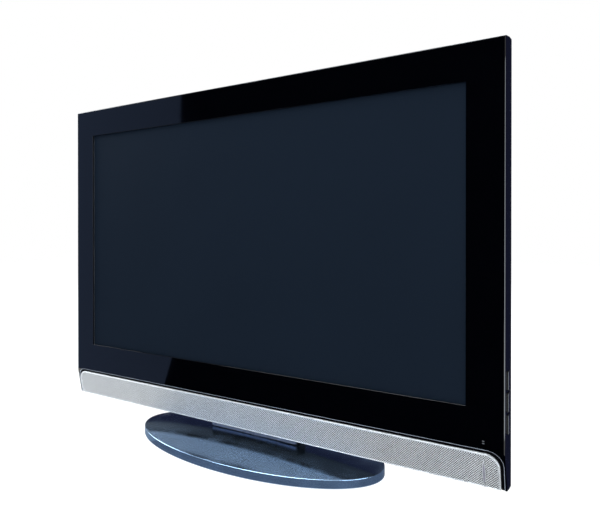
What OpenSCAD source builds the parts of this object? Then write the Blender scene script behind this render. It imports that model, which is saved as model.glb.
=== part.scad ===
// Flat screen television, 32 inch class, on a swivel stand, with its inner build.
// The origin is on the table under the middle of the stand's base. X points to the viewer's
// right, Y points away from the viewer and Z points up. Lengths are in millimetres.

/* [Picture] */
// Width of the picture opening
view_w = 700; // [680:1:760]
// Height of the picture opening
view_h = 394; // [385:1:430]

/* [Cabinet] */
// Bezel beside the picture
bezel_side = 46; // [45:1:60]
// Bezel above the picture
bezel_top = 48; // [46:1:60]
// Bezel from the picture down to the lip over the speaker strip
bezel_bottom = 50; // [48:1:64]
// Height of the speaker strip
strip_h = 47; // [46:1:54]
// How far the foot of the speaker strip stands back from the front
strip_setback = 9.5; // [6:0.5:12]
// Corner radius of the lip round the speaker strip
lip_r = 18; // [10:1:22]
// Corner radius of the cabinet seen from the front
corner_r = 3; // [3:0.5:14]
// Wall of the mouldings
wall = 2.5; // [2.2:0.1:2.8]
// Depth of the bezel's skirt
skirt_d = 22; // [21.5:0.5:23]
// How far the skirt widens towards the back on each side
flare = 2.5; // [1:0.5:4]
// Step in from the skirt to the rear cover
cover_step = 1.5; // [0.5:0.5:2]
// Depth of the cabinet
cabinet_d = 95; // [94:1:108]
// Thickness of the bezel's legs beside the speaker strip
leg_t = 2; // [1.5:0.1:2.4]

/* [Speaker strip] */
// Black band between the lip and the grille
band = 4; // [3:0.5:6]
// Sheet of the speaker grille
grille_t = 1; // [0.6:0.1:1.2]
// Depth of the grille's folded edge
grille_fold = 5; // [4:0.5:5]
// Distance of each speaker from the middle
speaker_x = 240; // [225:1:250]
// Width of a speaker's mounting flange
speaker_w = 120; // [100:1:130]
// Height of a speaker's mounting flange
speaker_h = 36; // [32:1:37]
// Distance of the sensor window from the middle
sensor_x = 371; // [360:1:372]
// Height of the sensor window
sensor_h = 29; // [20:1:32]
// Width of the sensor window at its middle
sensor_w = 2.8; // [2:0.1:4]

/* [Panel module] */
// Border of the panel module outside the picture, left and right
module_side = 30; // [28:0.5:31]
// Border of the panel module outside the picture, above and below
module_edge = 28; // [26:0.5:29]
// Thickness of the display glass
glass_t = 2.2; // [1.6:0.1:2.6]
// Depth of the backlight tray
tray_d = 21; // [18:0.5:22]
// Radius of a backlight lamp
lamp_r = 2; // [1.5:0.1:3]
// Number of backlight lamps
lamp_count = 16; // [8:1:18]

/* [Keys] */
// Height of a key
key_h = 23; // [20:0.5:24]
// Width of a key, front to back
key_d = 9; // [7:0.5:10]
// Spacing of the keys
key_pitch = 26; // [26:0.5:28]
// How far the keys stand proud of the skirt
key_proud = 1.2; // [0.8:0.1:2]
// Radius of a rocker's pivot pin
pin_r = 1; // [0.8:0.1:1.3]

/* [Rear] */
// Spacing of the wall mount holes
mount_pitch = 200; // [100:50:200]
// Radius of the tapped wall mount holes
mount_hole_r = 2.5; // [1.7:0.1:3.4]
// Radius of a wall mount post
mount_post_r = 8; // [6:0.5:9]
// Radius of a cover screw
screw_r = 1.5; // [1.2:0.1:1.8]

/* [Stand] */
// Width of the base
base_w = 448; // [400:1:520]
// Depth of the base
base_d = 204; // [196:1:260]
// Height of the base's rim
rim_h = 12; // [11:0.5:14]
// Rise of the base's top from the rim to the middle
crown_h = 9; // [8:0.5:11]
// Height of the rubber feet
foot_h = 1.5; // [1.4:0.1:3]
// Width of the neck
neck_w = 174; // [166:1:200]
// Depth of the neck
neck_d = 28; // [27:0.5:32]
// How far the neck's axis lies behind the middle of the base
neck_back = 10; // [6:1:12]
// Height of the cabinet's underside over the table
cabinet_clear = 39; // [38:0.5:60]
// How far the front of the cabinet lies ahead of the middle of the base
front_ahead = 37; // [36:0.5:39]
// Half of the swivel's travel, in degrees
swivel_half = 20; // [10:1:25]
// Radius of the pivot pin in the base
pivot_r = 5; // [4:0.5:6]

/* [Hidden] */
$fn = 64;

// Clearances, and how far a cut runs past a face
over = 1;
fit = 0.3;
run_gap = 0.1;
pin_gap = 0.05;

// Heights and half width of the cabinet
half_w = view_w / 2 + bezel_side;
lip_z = cabinet_clear + strip_h;
view_z0 = lip_z + bezel_bottom;
view_z1 = view_z0 + view_h;
view_zc = (view_z0 + view_z1) / 2;
top_z = view_z1 + bezel_top;

// Outer side and top of the flared skirt at a depth behind the front
function skirt_x(y) = half_w + flare * y / skirt_d;
function skirt_top(y) = top_z + flare * y / skirt_d;

// Leaning front of the speaker strip at a height
function strip_y(z) = strip_setback * (lip_z - z) / strip_h;

// Layers of the speaker strip, measured back from its leaning front. The grille stands proud.
carrier_off = 0.8;
grille_off = -1.5;
cloth_t = 0.5;
floor_off = grille_off + grille_fold + fit;
carrier_short = 0.5;
carrier_back = skirt_d - carrier_short;
carrier_wall = 2;

// Layers of the panel module, measured back from the front of the cabinet
gasket_t = 0.5;
gasket_in = 2;
frame_t = 0.8;
frame_skirt = 18;
mould_t = 1;
prism_t = 0.6;
diffuser_t = 2;
sheet_t = 1;
frame_y = wall + gasket_t;
glass_y = frame_y + frame_t;
mould_y = glass_y + glass_t;
prism_y = mould_y + mould_t;
diffuser_y = prism_y + prism_t;
tray_y = diffuser_y + diffuser_t;
tray_back = tray_y + tray_d;
module_hw = view_w / 2 + module_side;
module_hh = view_h / 2 + module_edge;
reveal = 1;
pan_side = 12;
pan_edge = 10;
pan_hw = view_w / 2 + pan_side;
pan_hh = view_h / 2 + pan_edge;

// Chassis and boards
chassis_t = 1.5;
chassis_rise = 14;
chassis_y = tray_back + chassis_rise;
chassis_hw = 280;
chassis_below = 6;
chassis_above = 17;
chassis_z0 = view_z0 - chassis_below;
chassis_z1 = view_zc + mount_pitch / 2 + chassis_above;
board_t = 1.6;
board_rise = 10;
board_y = chassis_y + board_rise;
socket_proud = 0.5;
socket_len = 19.4;
plate_t = 1.5;
cover_in = cabinet_d - wall;
socket_y = cover_in + socket_proud - socket_len;
board_below = 4;
board_above = 194;
main_x = [-270, -114];
main_z = [view_z0 - board_below, view_z0 + board_above];
power_x = [114, 270];
power_z = main_z;
inverter_low = 2;
inverter_high = 54;
inverter_x = [-88, 88];
inverter_z = [view_z0 + inverter_low, view_z0 + inverter_high];
standoff_in = 8;
standoff_r = 3.5;

// Connector field at the back
bay_x = [-262, -122];
bay_low = 2;
bay_high = 72;
bay_z = [view_z0 + bay_low, view_z0 + bay_high];
bay_lap = 6;
scart_up = 56;
scart_z = view_z0 + scart_up;
scart_x = [-228, -166];
scart_w = 48;
scart_h = 13;
row_up = 30;
row_z = view_z0 + row_up;
hdmi_x = [-248, -226];
hdmi_w = 15.5;
hdmi_h = 6.2;
vga_x = -190;
vga_w = 31;
vga_h = 12;
aerial_x = -150;
aerial_r = 6.4;
av_up = 11;
av_z = view_z0 + av_up;
av_x = [-248, -232, -216];
av_r = 6;
inlet_x = 190;
inlet_up = 22;
inlet_z = view_z0 + inlet_up;
inlet_w = 27.4;
inlet_h = 20;

// Rear cover outline, corner by corner from the rim to the back
cover_up = 2;
shoulder_in = 2;
shoulder_back = 8;
mid_in = 56;
back_in = 106;
low_up = 71;
high_up = 10;
brow_down = 58;
crest_back = 12;
crest_down = 8;
cover_z0 = cabinet_clear + cover_up;
cover_z1 = top_z + flare - cover_step;
cover_rim = half_w + flare - cover_step;
shoulder_x = half_w - shoulder_in;
shoulder_y = skirt_d + shoulder_back;
mid_x = half_w - mid_in;
mid_y = 60;
back_x = half_w - back_in;
low_y = 62;
low_z = cabinet_clear + low_up;
high_z = chassis_z1 + high_up;
brow_y = 58;
brow_z = top_z - brow_down;
crest_y = skirt_d + crest_back;
crest_z = top_z - crest_down;

// Cover screws stand on a line between the panel module and the cabinet's wall
boss_r = 5;
boss_gap = 1;
boss_in = wall + boss_r + boss_gap;
boss_x = half_w - boss_in;
screw_pitch = 200;
screw_top_z = top_z - boss_in;
screw_low_z = lip_z + boss_in;
screw_below = 80;
screw_above = 120;
screw_side_z = [screw_low_z, view_zc - screw_below, view_zc + screw_above];
screw_step = 5;
screw_seat = skirt_d + screw_step;
screw_deep = 10;
screw_head_r = 3.2;
screw_head_t = 2.2;
screw_well = 12;
bezel_boss_r = boss_r - boss_gap;
screw_points = concat(
    [for (i = [-1.5:1:1.5]) [i * screw_pitch, screw_top_z]],
    [for (s = [-1, 1]) for (z = screw_side_z) [s * boss_x, z]]
);
mount_points = [
    for (sx = [-1, 1]) for (sz = [-1, 1])
        [sx * mount_pitch / 2, view_zc + sz * mount_pitch / 2]
];

// Keys on the right side
key_y = 12;
key_span = [key_y - key_d / 2, key_y + key_d / 2];
key_gap = 0.4;
rock_gap = 0.9;
power_key_up = 35;
power_key_z = view_z0 + power_key_up;
programme_z = power_key_z - key_pitch;
volume_z = programme_z - key_pitch;
key_face_x = skirt_x(key_y) + key_proud;
pivot_in = 5.6;
pivot_x = half_w - pivot_in;
switch_at = 8;
ear_t = 1.5;
key_plate_in = 14.5;
key_plate_t = 1.5;
key_board_t = 1.2;
key_plate_x = half_w - key_plate_in;
key_board_x = key_plate_x + key_plate_t;
switch_x = key_board_x + key_board_t;
switch_t = 2;
plunger_t = 0.5;
key_free = 0.8;
rocker_in = switch_x + switch_t + plunger_t + key_free;
press_free = 1.1;
ear_y = key_d / 2 + key_gap;

// Stand
base_wall = 2.5;
rim_z = foot_h + rim_h;
crown_z = rim_z + crown_h;
base_plate_t = 3;
base_top = foot_h + base_plate_t;
plate_gap = 1.5;
base_inset = base_wall + plate_gap;
neck_wall = 2.5;
neck_r = 6;
neck_gap = 0.8;
neck_z0 = crown_z + neck_gap;
neck_z1 = cover_z0 - 2 * run_gap;
axis_y = front_ahead + neck_back;
cross_up = 2.7;
cross_z = neck_z0 + cross_up;
cross_t = 5;
cross_hw = 72;
upright_w = 32;
upright_t = 4;
upright_x = cross_hw - upright_w / 2;
upright_lap = 35;
upright_top = chassis_z0 + upright_lap;
bolt_r = 2.4;
bolt_up = [10, 26];
bolt_z = [for (up = bolt_up) chassis_z0 + up];
thrust_t = 2;
disc_t = 3;
disc_r = 72;
disc_z = base_top + thrust_t + run_gap;
disc_top = disc_z + disc_t;
tube_r = 9;
stop_r = 3;
stop_at = 60;
ring_wall = 7;
ring_gap = 1;
pin_short = 1;
stop_short = 0.5;
ring_lip = 2;
ring_lap = 6;
foot_r = 9;
base_screw_points = [for (sx = [-1, 1]) for (sy = [-1, 1]) [sx * base_w / 3, sy * base_d / 7]];
foot_out = 0.4;
foot_points = [
    for (a = [20, 90, 160, 200, 270, 340]) foot_out * [base_w * cos(a), base_d * sin(a)]
];

// Curves of the base's top: a part of a ball stretched over the base
ball_r = 1.25;
ball_low = sqrt(ball_r * ball_r - 1);
ball_rise = crown_h / (ball_r - ball_low);
function crown_at(x, y) = rim_z - ball_rise * ball_low
    + ball_rise * sqrt(pow(ball_r, 2) - pow(2 * x / base_w, 2) - pow(2 * y / base_d, 2));

// The cabinet's pieces are drawn with Y from the front of the bezel
module in_cabinet() {
    translate([0, -front_ahead, 0]) children();
}

module block(x, y, z) {
    translate([x[0], y[0], z[0]]) cube([x[1] - x[0], y[1] - y[0], z[1] - z[0]]);
}

// A block centred on X and on a height
module plate(hw, y, zc, hh) {
    block([-hw, hw], y, [zc - hh, zc + hh]);
}

module rod_x(x, y, z, r) {
    translate([x[0], y, z]) rotate([0, 90, 0]) cylinder(h = x[1] - x[0], r = r);
}

module rod_y(x, y, z, r) {
    translate([x, y[0], z]) rotate([-90, 0, 0]) cylinder(h = y[1] - y[0], r = r);
}

module rod_z(x, y, z, r) {
    translate([x, y, z[0]]) cylinder(h = z[1] - z[0], r = r);
}

// A side outline, given as [y, z] points, run along X
module along_x(hw, points) {
    translate([-hw, 0, 0]) rotate([90, 0, 90]) linear_extrude(2 * hw) polygon(points);
}

// A front outline, drawn in X and Z, run along Y
module along_y(y) {
    translate([0, y[1], 0]) rotate([90, 0, 0]) linear_extrude(y[1] - y[0]) children();
}

// A plan outline run along Z
module along_z(z, points) {
    translate([0, 0, z[0]]) linear_extrude(z[1] - z[0]) polygon(points);
}

module round_rect(w, h, r) {
    square([w - 2 * r, h], center = true);
    square([w, h - 2 * r], center = true);
    for (sx = [-1, 1]) for (sz = [-1, 1])
        translate([sx * (w / 2 - r), sz * (h / 2 - r)]) circle(r);
}

// A rectangle whose upper corners are rounded
module arch(hw, z, r) {
    translate([-hw, z[0]]) square([2 * hw, z[1] - r - z[0]]);
    translate([r - hw, z[0]]) square([2 * (hw - r), z[1] - z[0]]);
    for (s = [-1, 1]) translate([s * (hw - r), z[1] - r]) circle(r);
}

module stadium(w, h) {
    square([w - h, h], center = true);
    for (s = [-1, 1]) translate([s * (w - h) / 2, 0]) circle(h / 2);
}

// A pointed slit between two large arcs
module slit(w, h) {
    r = (h * h / 4 + w * w / 4) / w;
    intersection() {
        translate([r - w / 2, 0]) circle(r, $fn = 256);
        translate([w / 2 - r, 0]) circle(r, $fn = 256);
    }
}

// Slice of the speaker strip between two distances behind its leaning front
module strip_slice(from, to, z) {
    along_x(half_w, [
        [strip_y(z[1]) + from, z[1]], [strip_y(z[0]) + from, z[0]],
        [strip_y(z[0]) + to, z[0]], [strip_y(z[1]) + to, z[1]]
    ]);
}

// Front outline of the grille, grown on all sides
grille_hw = half_w - leg_t - band;
grille_z = [cabinet_clear + fit, lip_z - band];
grille_r = lip_r - band + 3;
grille_cut_z = [grille_z[0] - over, grille_z[1] + over];
module grille_outline(grow) {
    arch(grille_hw + grow, [grille_z[0] - grow, grille_z[1] + grow], grille_r + grow);
}

// The sensor slit lies under the middle of the grille
sensor_drop = 3.2;
sensor_z = (grille_z[0] + grille_z[1]) / 2 - sensor_drop;
slit_end_grow = 8;
module sensor_slot(grow) {
    along_y([-over, carrier_back + over]) translate([sensor_x, sensor_z])
        slit(sensor_w + 2 * grow, sensor_h + slit_end_grow * grow);
}

// Front bezel: gloss moulding with the picture opening, the notch for the speaker strip,
// key windows in its right skirt and a ring of screw bosses.
module bezel_form() {
    intersection() {
        along_z([cabinet_clear - over, top_z + flare + over], [
            [-half_w, 0], [half_w, 0], [half_w + flare, skirt_d], [-half_w - flare, skirt_d]
        ]);
        along_x(half_w + flare + over, [
            [0, lip_z], [strip_setback, cabinet_clear], [skirt_d, cabinet_clear],
            [skirt_d, top_z + flare], [0, top_z]
        ]);
        along_y([-over, skirt_d + over]) translate([0, (cabinet_clear + top_z + flare) / 2])
            round_rect(2 * (half_w + flare), top_z + flare - cabinet_clear, corner_r);
    }
}

module bezel_hollow() {
    y0 = wall;
    y1 = skirt_d + over;
    intersection() {
        along_z([lip_z + wall, top_z + flare], [
            [wall - skirt_x(y0), y0], [skirt_x(y0) - wall, y0],
            [skirt_x(y1) - wall, y1], [wall - skirt_x(y1), y1]
        ]);
        along_x(half_w + flare, [
            [y0, lip_z + wall], [y1, lip_z + wall],
            [y1, skirt_top(y1) - wall], [y0, skirt_top(y0) - wall]
        ]);
        along_y([y0 - over, y1 + over]) translate([0, (cabinet_clear + top_z + flare) / 2])
            round_rect(2 * (half_w + flare - wall), top_z + flare - cabinet_clear - 2 * wall,
                corner_r - wall);
    }
}

pipe_w = 2.5;
pipe_h = 1;
pipe_up = 9.4;
pipe_pitch = 2.6;
pipe_z = [for (s = [-1, 1]) lip_z + pipe_up + s * pipe_pitch / 2];

module key_window(z, gap) {
    block([half_w - 2 * wall, half_w + flare + over],
        [key_span[0] - key_gap, key_span[1] + key_gap],
        [z - key_h / 2 - gap, z + key_h / 2 + gap]);
}

module front_bezel() {
    shelf_back = 2;
    color([0.02, 0.02, 0.03]) in_cabinet() difference() {
        union() {
            difference() {
                bezel_form();
                bezel_hollow();
            }
            for (p = screw_points) rod_y(p[0], [wall - fit, skirt_d], p[1], bezel_boss_r);
        }
        along_y([-over, skirt_d + over]) arch(half_w - leg_t, [cabinet_clear - over, lip_z], lip_r);
        plate(half_w - leg_t, [skirt_d - shelf_back, skirt_d + over], lip_z + wall / 2, wall);
        plate(view_w / 2, [-over, wall + over], view_zc, view_h / 2);
        for (p = screw_points)
            rod_y(p[0], [screw_deep - over, skirt_d + over], p[1], screw_r + run_gap);
        for (z = pipe_z)
            block([sensor_x - pipe_w / 2 - run_gap, sensor_x + pipe_w / 2 + run_gap],
                [-over, wall + over],
                [z - pipe_h / 2 - run_gap, z + pipe_h / 2 + run_gap]);
        key_window(power_key_z, key_gap);
        key_window(programme_z, rock_gap);
        key_window(volume_z, rock_gap);
    }
}

// Panel module, front to back: foam gasket, steel front frame, glass, moulded frame,
// optical sheets, lamps in their holders and the reflector tray.
module screen_gasket() {
    color([0.12, 0.12, 0.12]) in_cabinet() difference() {
        plate(module_hw - gasket_in, [wall, frame_y], view_zc, module_hh - gasket_in);
        plate(view_w / 2 + reveal, [wall - over, frame_y + over], view_zc, view_h / 2 + reveal);
    }
}

module panel_frame() {
    skirt_back = tray_y + frame_skirt;
    color([0.7, 0.7, 0.72]) in_cabinet() difference() {
        plate(module_hw, [frame_y, skirt_back], view_zc, module_hh);
        plate(module_hw - sheet_t, [glass_y, skirt_back + over], view_zc, module_hh - sheet_t);
        plate(view_w / 2 + reveal, [frame_y - over, glass_y + over], view_zc, view_h / 2 + reveal);
    }
}

module lcd_glass() {
    lap = 8;
    color([0.1, 0.13, 0.17]) in_cabinet()
        plate(view_w / 2 + lap, [glass_y, mould_y], view_zc, view_h / 2 + lap);
}

frame_fit = sheet_t + 1;
module panel_mould() {
    color([0.9, 0.9, 0.88]) in_cabinet() difference() {
        plate(module_hw - frame_fit, [mould_y, prism_y], view_zc, module_hh - frame_fit);
        plate(view_w / 2 + reveal, [mould_y - over, prism_y + over], view_zc, view_h / 2 + reveal);
    }
}

sheet_lap = 4;
module prism_sheets() {
    color([0.85, 0.87, 0.9]) in_cabinet()
        plate(pan_hw + sheet_lap, [prism_y, diffuser_y], view_zc, pan_hh + sheet_lap);
}

module diffuser_plate() {
    color([0.95, 0.95, 0.95]) in_cabinet()
        plate(pan_hw + sheet_lap, [diffuser_y, tray_y], view_zc, pan_hh + sheet_lap);
}

lamp_y = tray_y + tray_d / 2;
lamp_margin = 10;
lamp_pitch = (view_h - 2 * lamp_margin) / (lamp_count - 1);
lamp_z = [for (i = [0:lamp_count - 1]) view_zc + (i - (lamp_count - 1) / 2) * lamp_pitch];
holder_w = 16;
holder_front = 2;
lamp_end = 3;
module backlight_lamps() {
    hw = pan_hw - sheet_t - lamp_end;
    color([0.97, 0.97, 0.92]) in_cabinet() for (z = lamp_z) rod_x([-hw, hw], lamp_y, z, lamp_r);
}

module lamp_holders() {
    outer = pan_hw - sheet_t;
    bore_hw = outer - lamp_end + run_gap;
    color([0.93, 0.93, 0.9]) in_cabinet() difference() {
        for (s = [-1, 1])
            translate([s * (outer - holder_w / 2), 0, 0])
                plate(holder_w / 2, [tray_y + holder_front, tray_back - sheet_t],
                    view_zc, pan_hh - sheet_t);
        for (z = lamp_z)
            rod_x([-bore_hw, bore_hw], lamp_y, z, lamp_r + run_gap);
    }
}

module backlight_tray() {
    color([0.75, 0.76, 0.78]) in_cabinet() difference() {
        union() {
            plate(module_hw - frame_fit, [tray_y, tray_y + sheet_t], view_zc, module_hh - frame_fit);
            plate(pan_hw, [tray_y, tray_back], view_zc, pan_hh);
        }
        plate(pan_hw - sheet_t, [tray_y - over, tray_back - sheet_t], view_zc, pan_hh - sheet_t);
    }
}

chip_t = 2;
module panel_board() {
    hw = 120;
    hh = 25;
    chip_hw = 14;
    board_up = 33;
    zc = chassis_z1 + board_up;
    color([0.1, 0.35, 0.2]) in_cabinet() {
        plate(hw, [tray_back, tray_back + board_t], zc, hh);
        plate(chip_hw, [tray_back, tray_back + board_t + chip_t], zc, chip_hw);
    }
}

// Chassis and electronics
module chassis_plate() {
    color([0.68, 0.69, 0.7]) in_cabinet() difference() {
        union() {
            block([-chassis_hw, chassis_hw], [chassis_y - chassis_t, chassis_y],
                [chassis_z0, chassis_z1]);
            for (z = [chassis_z0, chassis_z1 - chassis_t])
                block([-chassis_hw, chassis_hw], [tray_back, chassis_y], [z, z + chassis_t]);
        }
        for (s = [-1, 1]) for (z = bolt_z)
            rod_y(s * upright_x, [chassis_y - chassis_t - over, chassis_y + over], z, bolt_r + fit);
    }
}

function board_corners(x, z) = [
    for (cx = [x[0] + standoff_in, x[1] - standoff_in])
        for (cz = [z[0] + standoff_in, z[1] - standoff_in]) [cx, cz]
];

module standoff_set(x, z, to) {
    for (p = board_corners(x, z)) difference() {
        rod_y(p[0], [chassis_y, to], p[1], standoff_r);
        rod_y(p[0], [chassis_y + over, to + over], p[1], screw_r);
    }
}

module board_standoffs() {
    color([0.8, 0.75, 0.5]) in_cabinet() {
        standoff_set(main_x, main_z, socket_y - board_t);
        standoff_set(power_x, power_z, board_y);
        standoff_set(inverter_x, inverter_z, board_y);
    }
}

module circuit_board(x, y, z) {
    difference() {
        block(x, [y, y + board_t], z);
        for (p = board_corners(x, z)) rod_y(p[0], [y - over, y + board_t + over], p[1], screw_r);
    }
}

sink_x = [-214, -170];
sink_low = 110;
sink_high = 154;
sink_z = [view_z0 + sink_low, view_z0 + sink_high];
// Chips beside the heatsink: x, height over the picture's foot, width and height of each
main_chips = [[-150, 120, 24, 24], [-256, 130, 20, 14]];
module main_board() {
    color([0.1, 0.35, 0.2]) in_cabinet() {
        circuit_board(main_x, socket_y - board_t, main_z);
        for (c = main_chips)
            block([c[0], c[0] + c[2]], [socket_y - fit, socket_y + chip_t],
                [view_z0 + c[1], view_z0 + c[1] + c[3]]);
    }
}

module main_heatsink() {
    fin_pitch = 7;
    fin_t = 2;
    fin_tall = 13;
    foot_t = 3;
    color([0.6, 0.62, 0.65]) in_cabinet() {
        block(sink_x, [socket_y, socket_y + foot_t], sink_z);
        for (x = [sink_x[0]:fin_pitch:sink_x[1] - fin_t])
            block([x, x + fin_t], [socket_y + foot_t - fit, socket_y + fin_tall], sink_z);
    }
}

module power_board() {
    color([0.72, 0.6, 0.35]) in_cabinet() circuit_board(power_x, board_y, power_z);
}

// Transformer, choke and cooling plate: x, height over the picture's foot, width, height and reach
power_boxes = [[128, 90, 40, 34, 28], [128, 52, 24, 24, 20], [246, 70, 4, 80, 24]];
// Large and small capacitors: x, height over the picture's foot, radius and reach of each
power_cans = [[212, 132, 12.5, 30], [212, 164, 12.5, 30], [184, 92, 6, 20], [200, 92, 6, 20]];
module power_components() {
    y0 = board_y + board_t;
    color([0.25, 0.25, 0.28]) in_cabinet() {
        for (b = power_boxes)
            block([b[0], b[0] + b[2]], [y0, y0 + b[4]], [view_z0 + b[1], view_z0 + b[1] + b[3]]);
        for (c = power_cans) rod_y(c[0], [y0, y0 + c[3]], view_z0 + c[1], c[2]);
    }
}

module inverter_board() {
    y0 = board_y + board_t;
    coil_pitch = 27;
    coil_hw = 9;
    coil_hh = 10;
    coil_tall = 12;
    zc = (inverter_z[0] + inverter_z[1]) / 2;
    color([0.1, 0.35, 0.2]) in_cabinet() {
        circuit_board(inverter_x, board_y, inverter_z);
        for (i = [-2:2]) translate([i * coil_pitch, 0, 0])
            plate(coil_hw, [y0 - fit, y0 + coil_tall], zc, coil_hh);
    }
}

module wall_mount_posts() {
    thread_deep = 25;
    color([0.8, 0.8, 0.82]) in_cabinet() for (p = mount_points) difference() {
        rod_y(p[0], [chassis_y, cabinet_d], p[1], mount_post_r);
        rod_y(p[0], [cabinet_d - thread_deep, cabinet_d + over], p[1], mount_hole_r);
    }
}

// Connectors stand on the main board and look out through their plate in the rear cover
module connector_plate() {
    color([0.15, 0.15, 0.16]) in_cabinet() difference() {
        block([bay_x[0] - bay_lap, bay_x[1] + bay_lap], [cover_in - plate_t, cover_in],
            [bay_z[0] - bay_lap, bay_z[1] + bay_lap]);
        along_y([cover_in - plate_t - over, cover_in + over]) {
            for (x = scart_x) translate([x, scart_z])
                square([scart_w + fit, scart_h + fit], center = true);
            for (x = hdmi_x) translate([x, row_z])
                square([hdmi_w + fit, hdmi_h + fit], center = true);
            translate([vga_x, row_z]) square([vga_w + fit, vga_h + fit], center = true);
            translate([aerial_x, row_z]) circle(aerial_r + fit);
            for (x = av_x) translate([x, av_z]) circle(av_r + fit);
        }
    }
}

socket_end = socket_y + socket_len;
tongue_back = 1.5;

// A hollow socket with a tongue standing in it
module socket(x, z, w, h, rim, deep, tongue_w, tongue_h) {
    translate([x, 0, z]) {
        difference() {
            plate(w / 2, [socket_y, socket_end], 0, h / 2);
            plate(w / 2 - rim, [socket_end - deep, socket_end + over], 0, h / 2 - rim);
        }
        plate(tongue_w / 2, [socket_end - deep - fit, socket_end - tongue_back], 0, tongue_h / 2);
    }
}

module scart_sockets() {
    color([0.1, 0.1, 0.1]) in_cabinet() for (x = scart_x)
        socket(x, scart_z, scart_w, scart_h, rim = 1.5, deep = 12, tongue_w = 41, tongue_h = 6);
}

module hdmi_sockets() {
    color([0.75, 0.76, 0.78]) in_cabinet() for (x = hdmi_x)
        socket(x, row_z, hdmi_w, hdmi_h, rim = 0.8, deep = 10, tongue_w = 11, tongue_h = 1.2);
}

module vga_socket() {
    shell_y = [socket_end - fit, socket_end + 2];
    shell_top = 8.6;
    shell_low = 7.6;
    shell_hh = 4;
    nut_x = 12.5;
    nut_r = 2.4;
    color([0.2, 0.3, 0.6]) in_cabinet() translate([vga_x, 0, row_z]) {
        plate(vga_w / 2, [socket_y, socket_end], 0, vga_h / 2);
        along_y(shell_y) polygon([
            [-shell_top, shell_hh], [shell_top, shell_hh], [shell_low, -shell_hh], [-shell_low, -shell_hh]
        ]);
        for (s = [-1, 1]) rod_y(s * nut_x, shell_y, 0, nut_r);
    }
}

module aerial_socket() {
    bore_deep = 12;
    mouth = socket_end + 1;
    shell_t = 1.6;
    sleeve_r = 2;
    contact_r = 1.2;
    color([0.8, 0.8, 0.8]) in_cabinet() translate([aerial_x, 0, row_z]) {
        difference() {
            rod_y(0, [socket_y, mouth], 0, aerial_r);
            rod_y(0, [socket_end - bore_deep, mouth + over], 0, aerial_r - shell_t);
        }
        difference() {
            rod_y(0, [socket_end - bore_deep - fit, socket_end], 0, sleeve_r);
            rod_y(0, [socket_end - bore_deep, socket_end + over], 0, contact_r);
        }
    }
}

module av_sockets() {
    nose = 1.5;
    nose_r = 4.2;
    contact_r = 1.65;
    contact_deep = 8;
    color([0.85, 0.8, 0.2]) in_cabinet() for (x = av_x) difference() {
        union() {
            rod_y(x, [socket_y, socket_end], av_z, av_r);
            rod_y(x, [socket_end - fit, socket_end + nose], av_z, nose_r);
        }
        rod_y(x, [socket_end - contact_deep, socket_end + nose + over], av_z, contact_r);
    }
}

inlet_flange = 3;
inlet_flange_t = 2;
inlet_deep = 18;
inlet_rim = 1.7;
inlet_floor = 2;
pin_tip_in = 5.4;
inlet_pins = [[-7, -2], [0, 2], [7, -2]];
inlet_pin_hw = 1;
inlet_pin_hh = 2;
module mains_inlet() {
    mouth = cabinet_d + inlet_flange_t;
    floor_y = mouth - inlet_deep;
    color([0.08, 0.08, 0.08]) in_cabinet() translate([inlet_x, 0, inlet_z]) {
        difference() {
            union() {
                plate(inlet_w / 2 + inlet_flange, [cabinet_d, mouth], 0, inlet_h / 2 + inlet_flange);
                plate(inlet_w / 2, [floor_y - inlet_floor, mouth], 0, inlet_h / 2);
            }
            plate(inlet_w / 2 - inlet_rim, [floor_y, mouth + over], 0, inlet_h / 2 - inlet_rim);
        }
        for (p = inlet_pins) translate([p[0], 0, p[1]])
            plate(inlet_pin_hw, [floor_y - fit, mouth - pin_tip_in], 0, inlet_pin_hh);
    }
}

// Rear cover: moulded shell with two slopes, vent slots, screw seats and openings for the
// connectors, the wall mount posts and the stand.
// The inset form is the hollow, so it starts ahead of the rim and keeps the wall on the slopes.
slope_in = 0.6;
slope_up = 0.3;
function cover_front(inset) = skirt_d - (inset > 0 ? over : 0);
function cover_half_plan(inset) = [
    [cover_rim - inset, cover_front(inset)], [shoulder_x - inset, shoulder_y],
    [mid_x - inset, mid_y - slope_in * inset], [back_x - inset, cabinet_d - inset]
];
function mirrored(points) = [for (i = [len(points) - 1:-1:0]) [-points[i][0], points[i][1]]];
function cover_side(inset) = [
    [cover_front(inset), cover_z0 + inset], [low_y - slope_in * inset, cover_z0 + inset],
    [cabinet_d - inset, low_z + slope_up * inset], [cabinet_d - inset, high_z - slope_up * inset],
    [brow_y - inset, brow_z - slope_up * inset], [crest_y - slope_in * inset, crest_z - inset],
    [cover_front(inset), cover_z1 - inset]
];

module cover_form(inset) {
    plan = cover_half_plan(inset);
    intersection() {
        along_z([cover_z0 - over, cover_z1 + over], concat(plan, mirrored(plan)));
        along_x(half_w + flare, cover_side(inset));
        along_y([skirt_d - 2 * over, cabinet_d + over]) translate([0, (cover_z0 + cover_z1) / 2])
            round_rect(2 * (cover_rim - inset), cover_z1 - cover_z0 - 2 * inset, corner_r);
    }
}

vent_pitch = 12;
vent_w = 5;
vent_half = 240;
vent_h = 34;
vent_top_up = 12;
vent_low_up = 22;
vent_top_z = [high_z + vent_top_up, high_z + vent_top_up + vent_h];
vent_low_z = [cabinet_clear + vent_low_up, cabinet_clear + vent_low_up + vent_h];
opening_hw = 78;
opening_hd = 9;
opening_y = [axis_y - opening_hd, axis_y + opening_hd];

module cover_vents() {
    for (x = [-vent_half:vent_pitch:vent_half]) {
        block([x - vent_w / 2, x + vent_w / 2], [low_y, cabinet_d + over], vent_low_z);
        block([x - vent_w / 2, x + vent_w / 2], [brow_y, cabinet_d + over], vent_top_z);
    }
}

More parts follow.
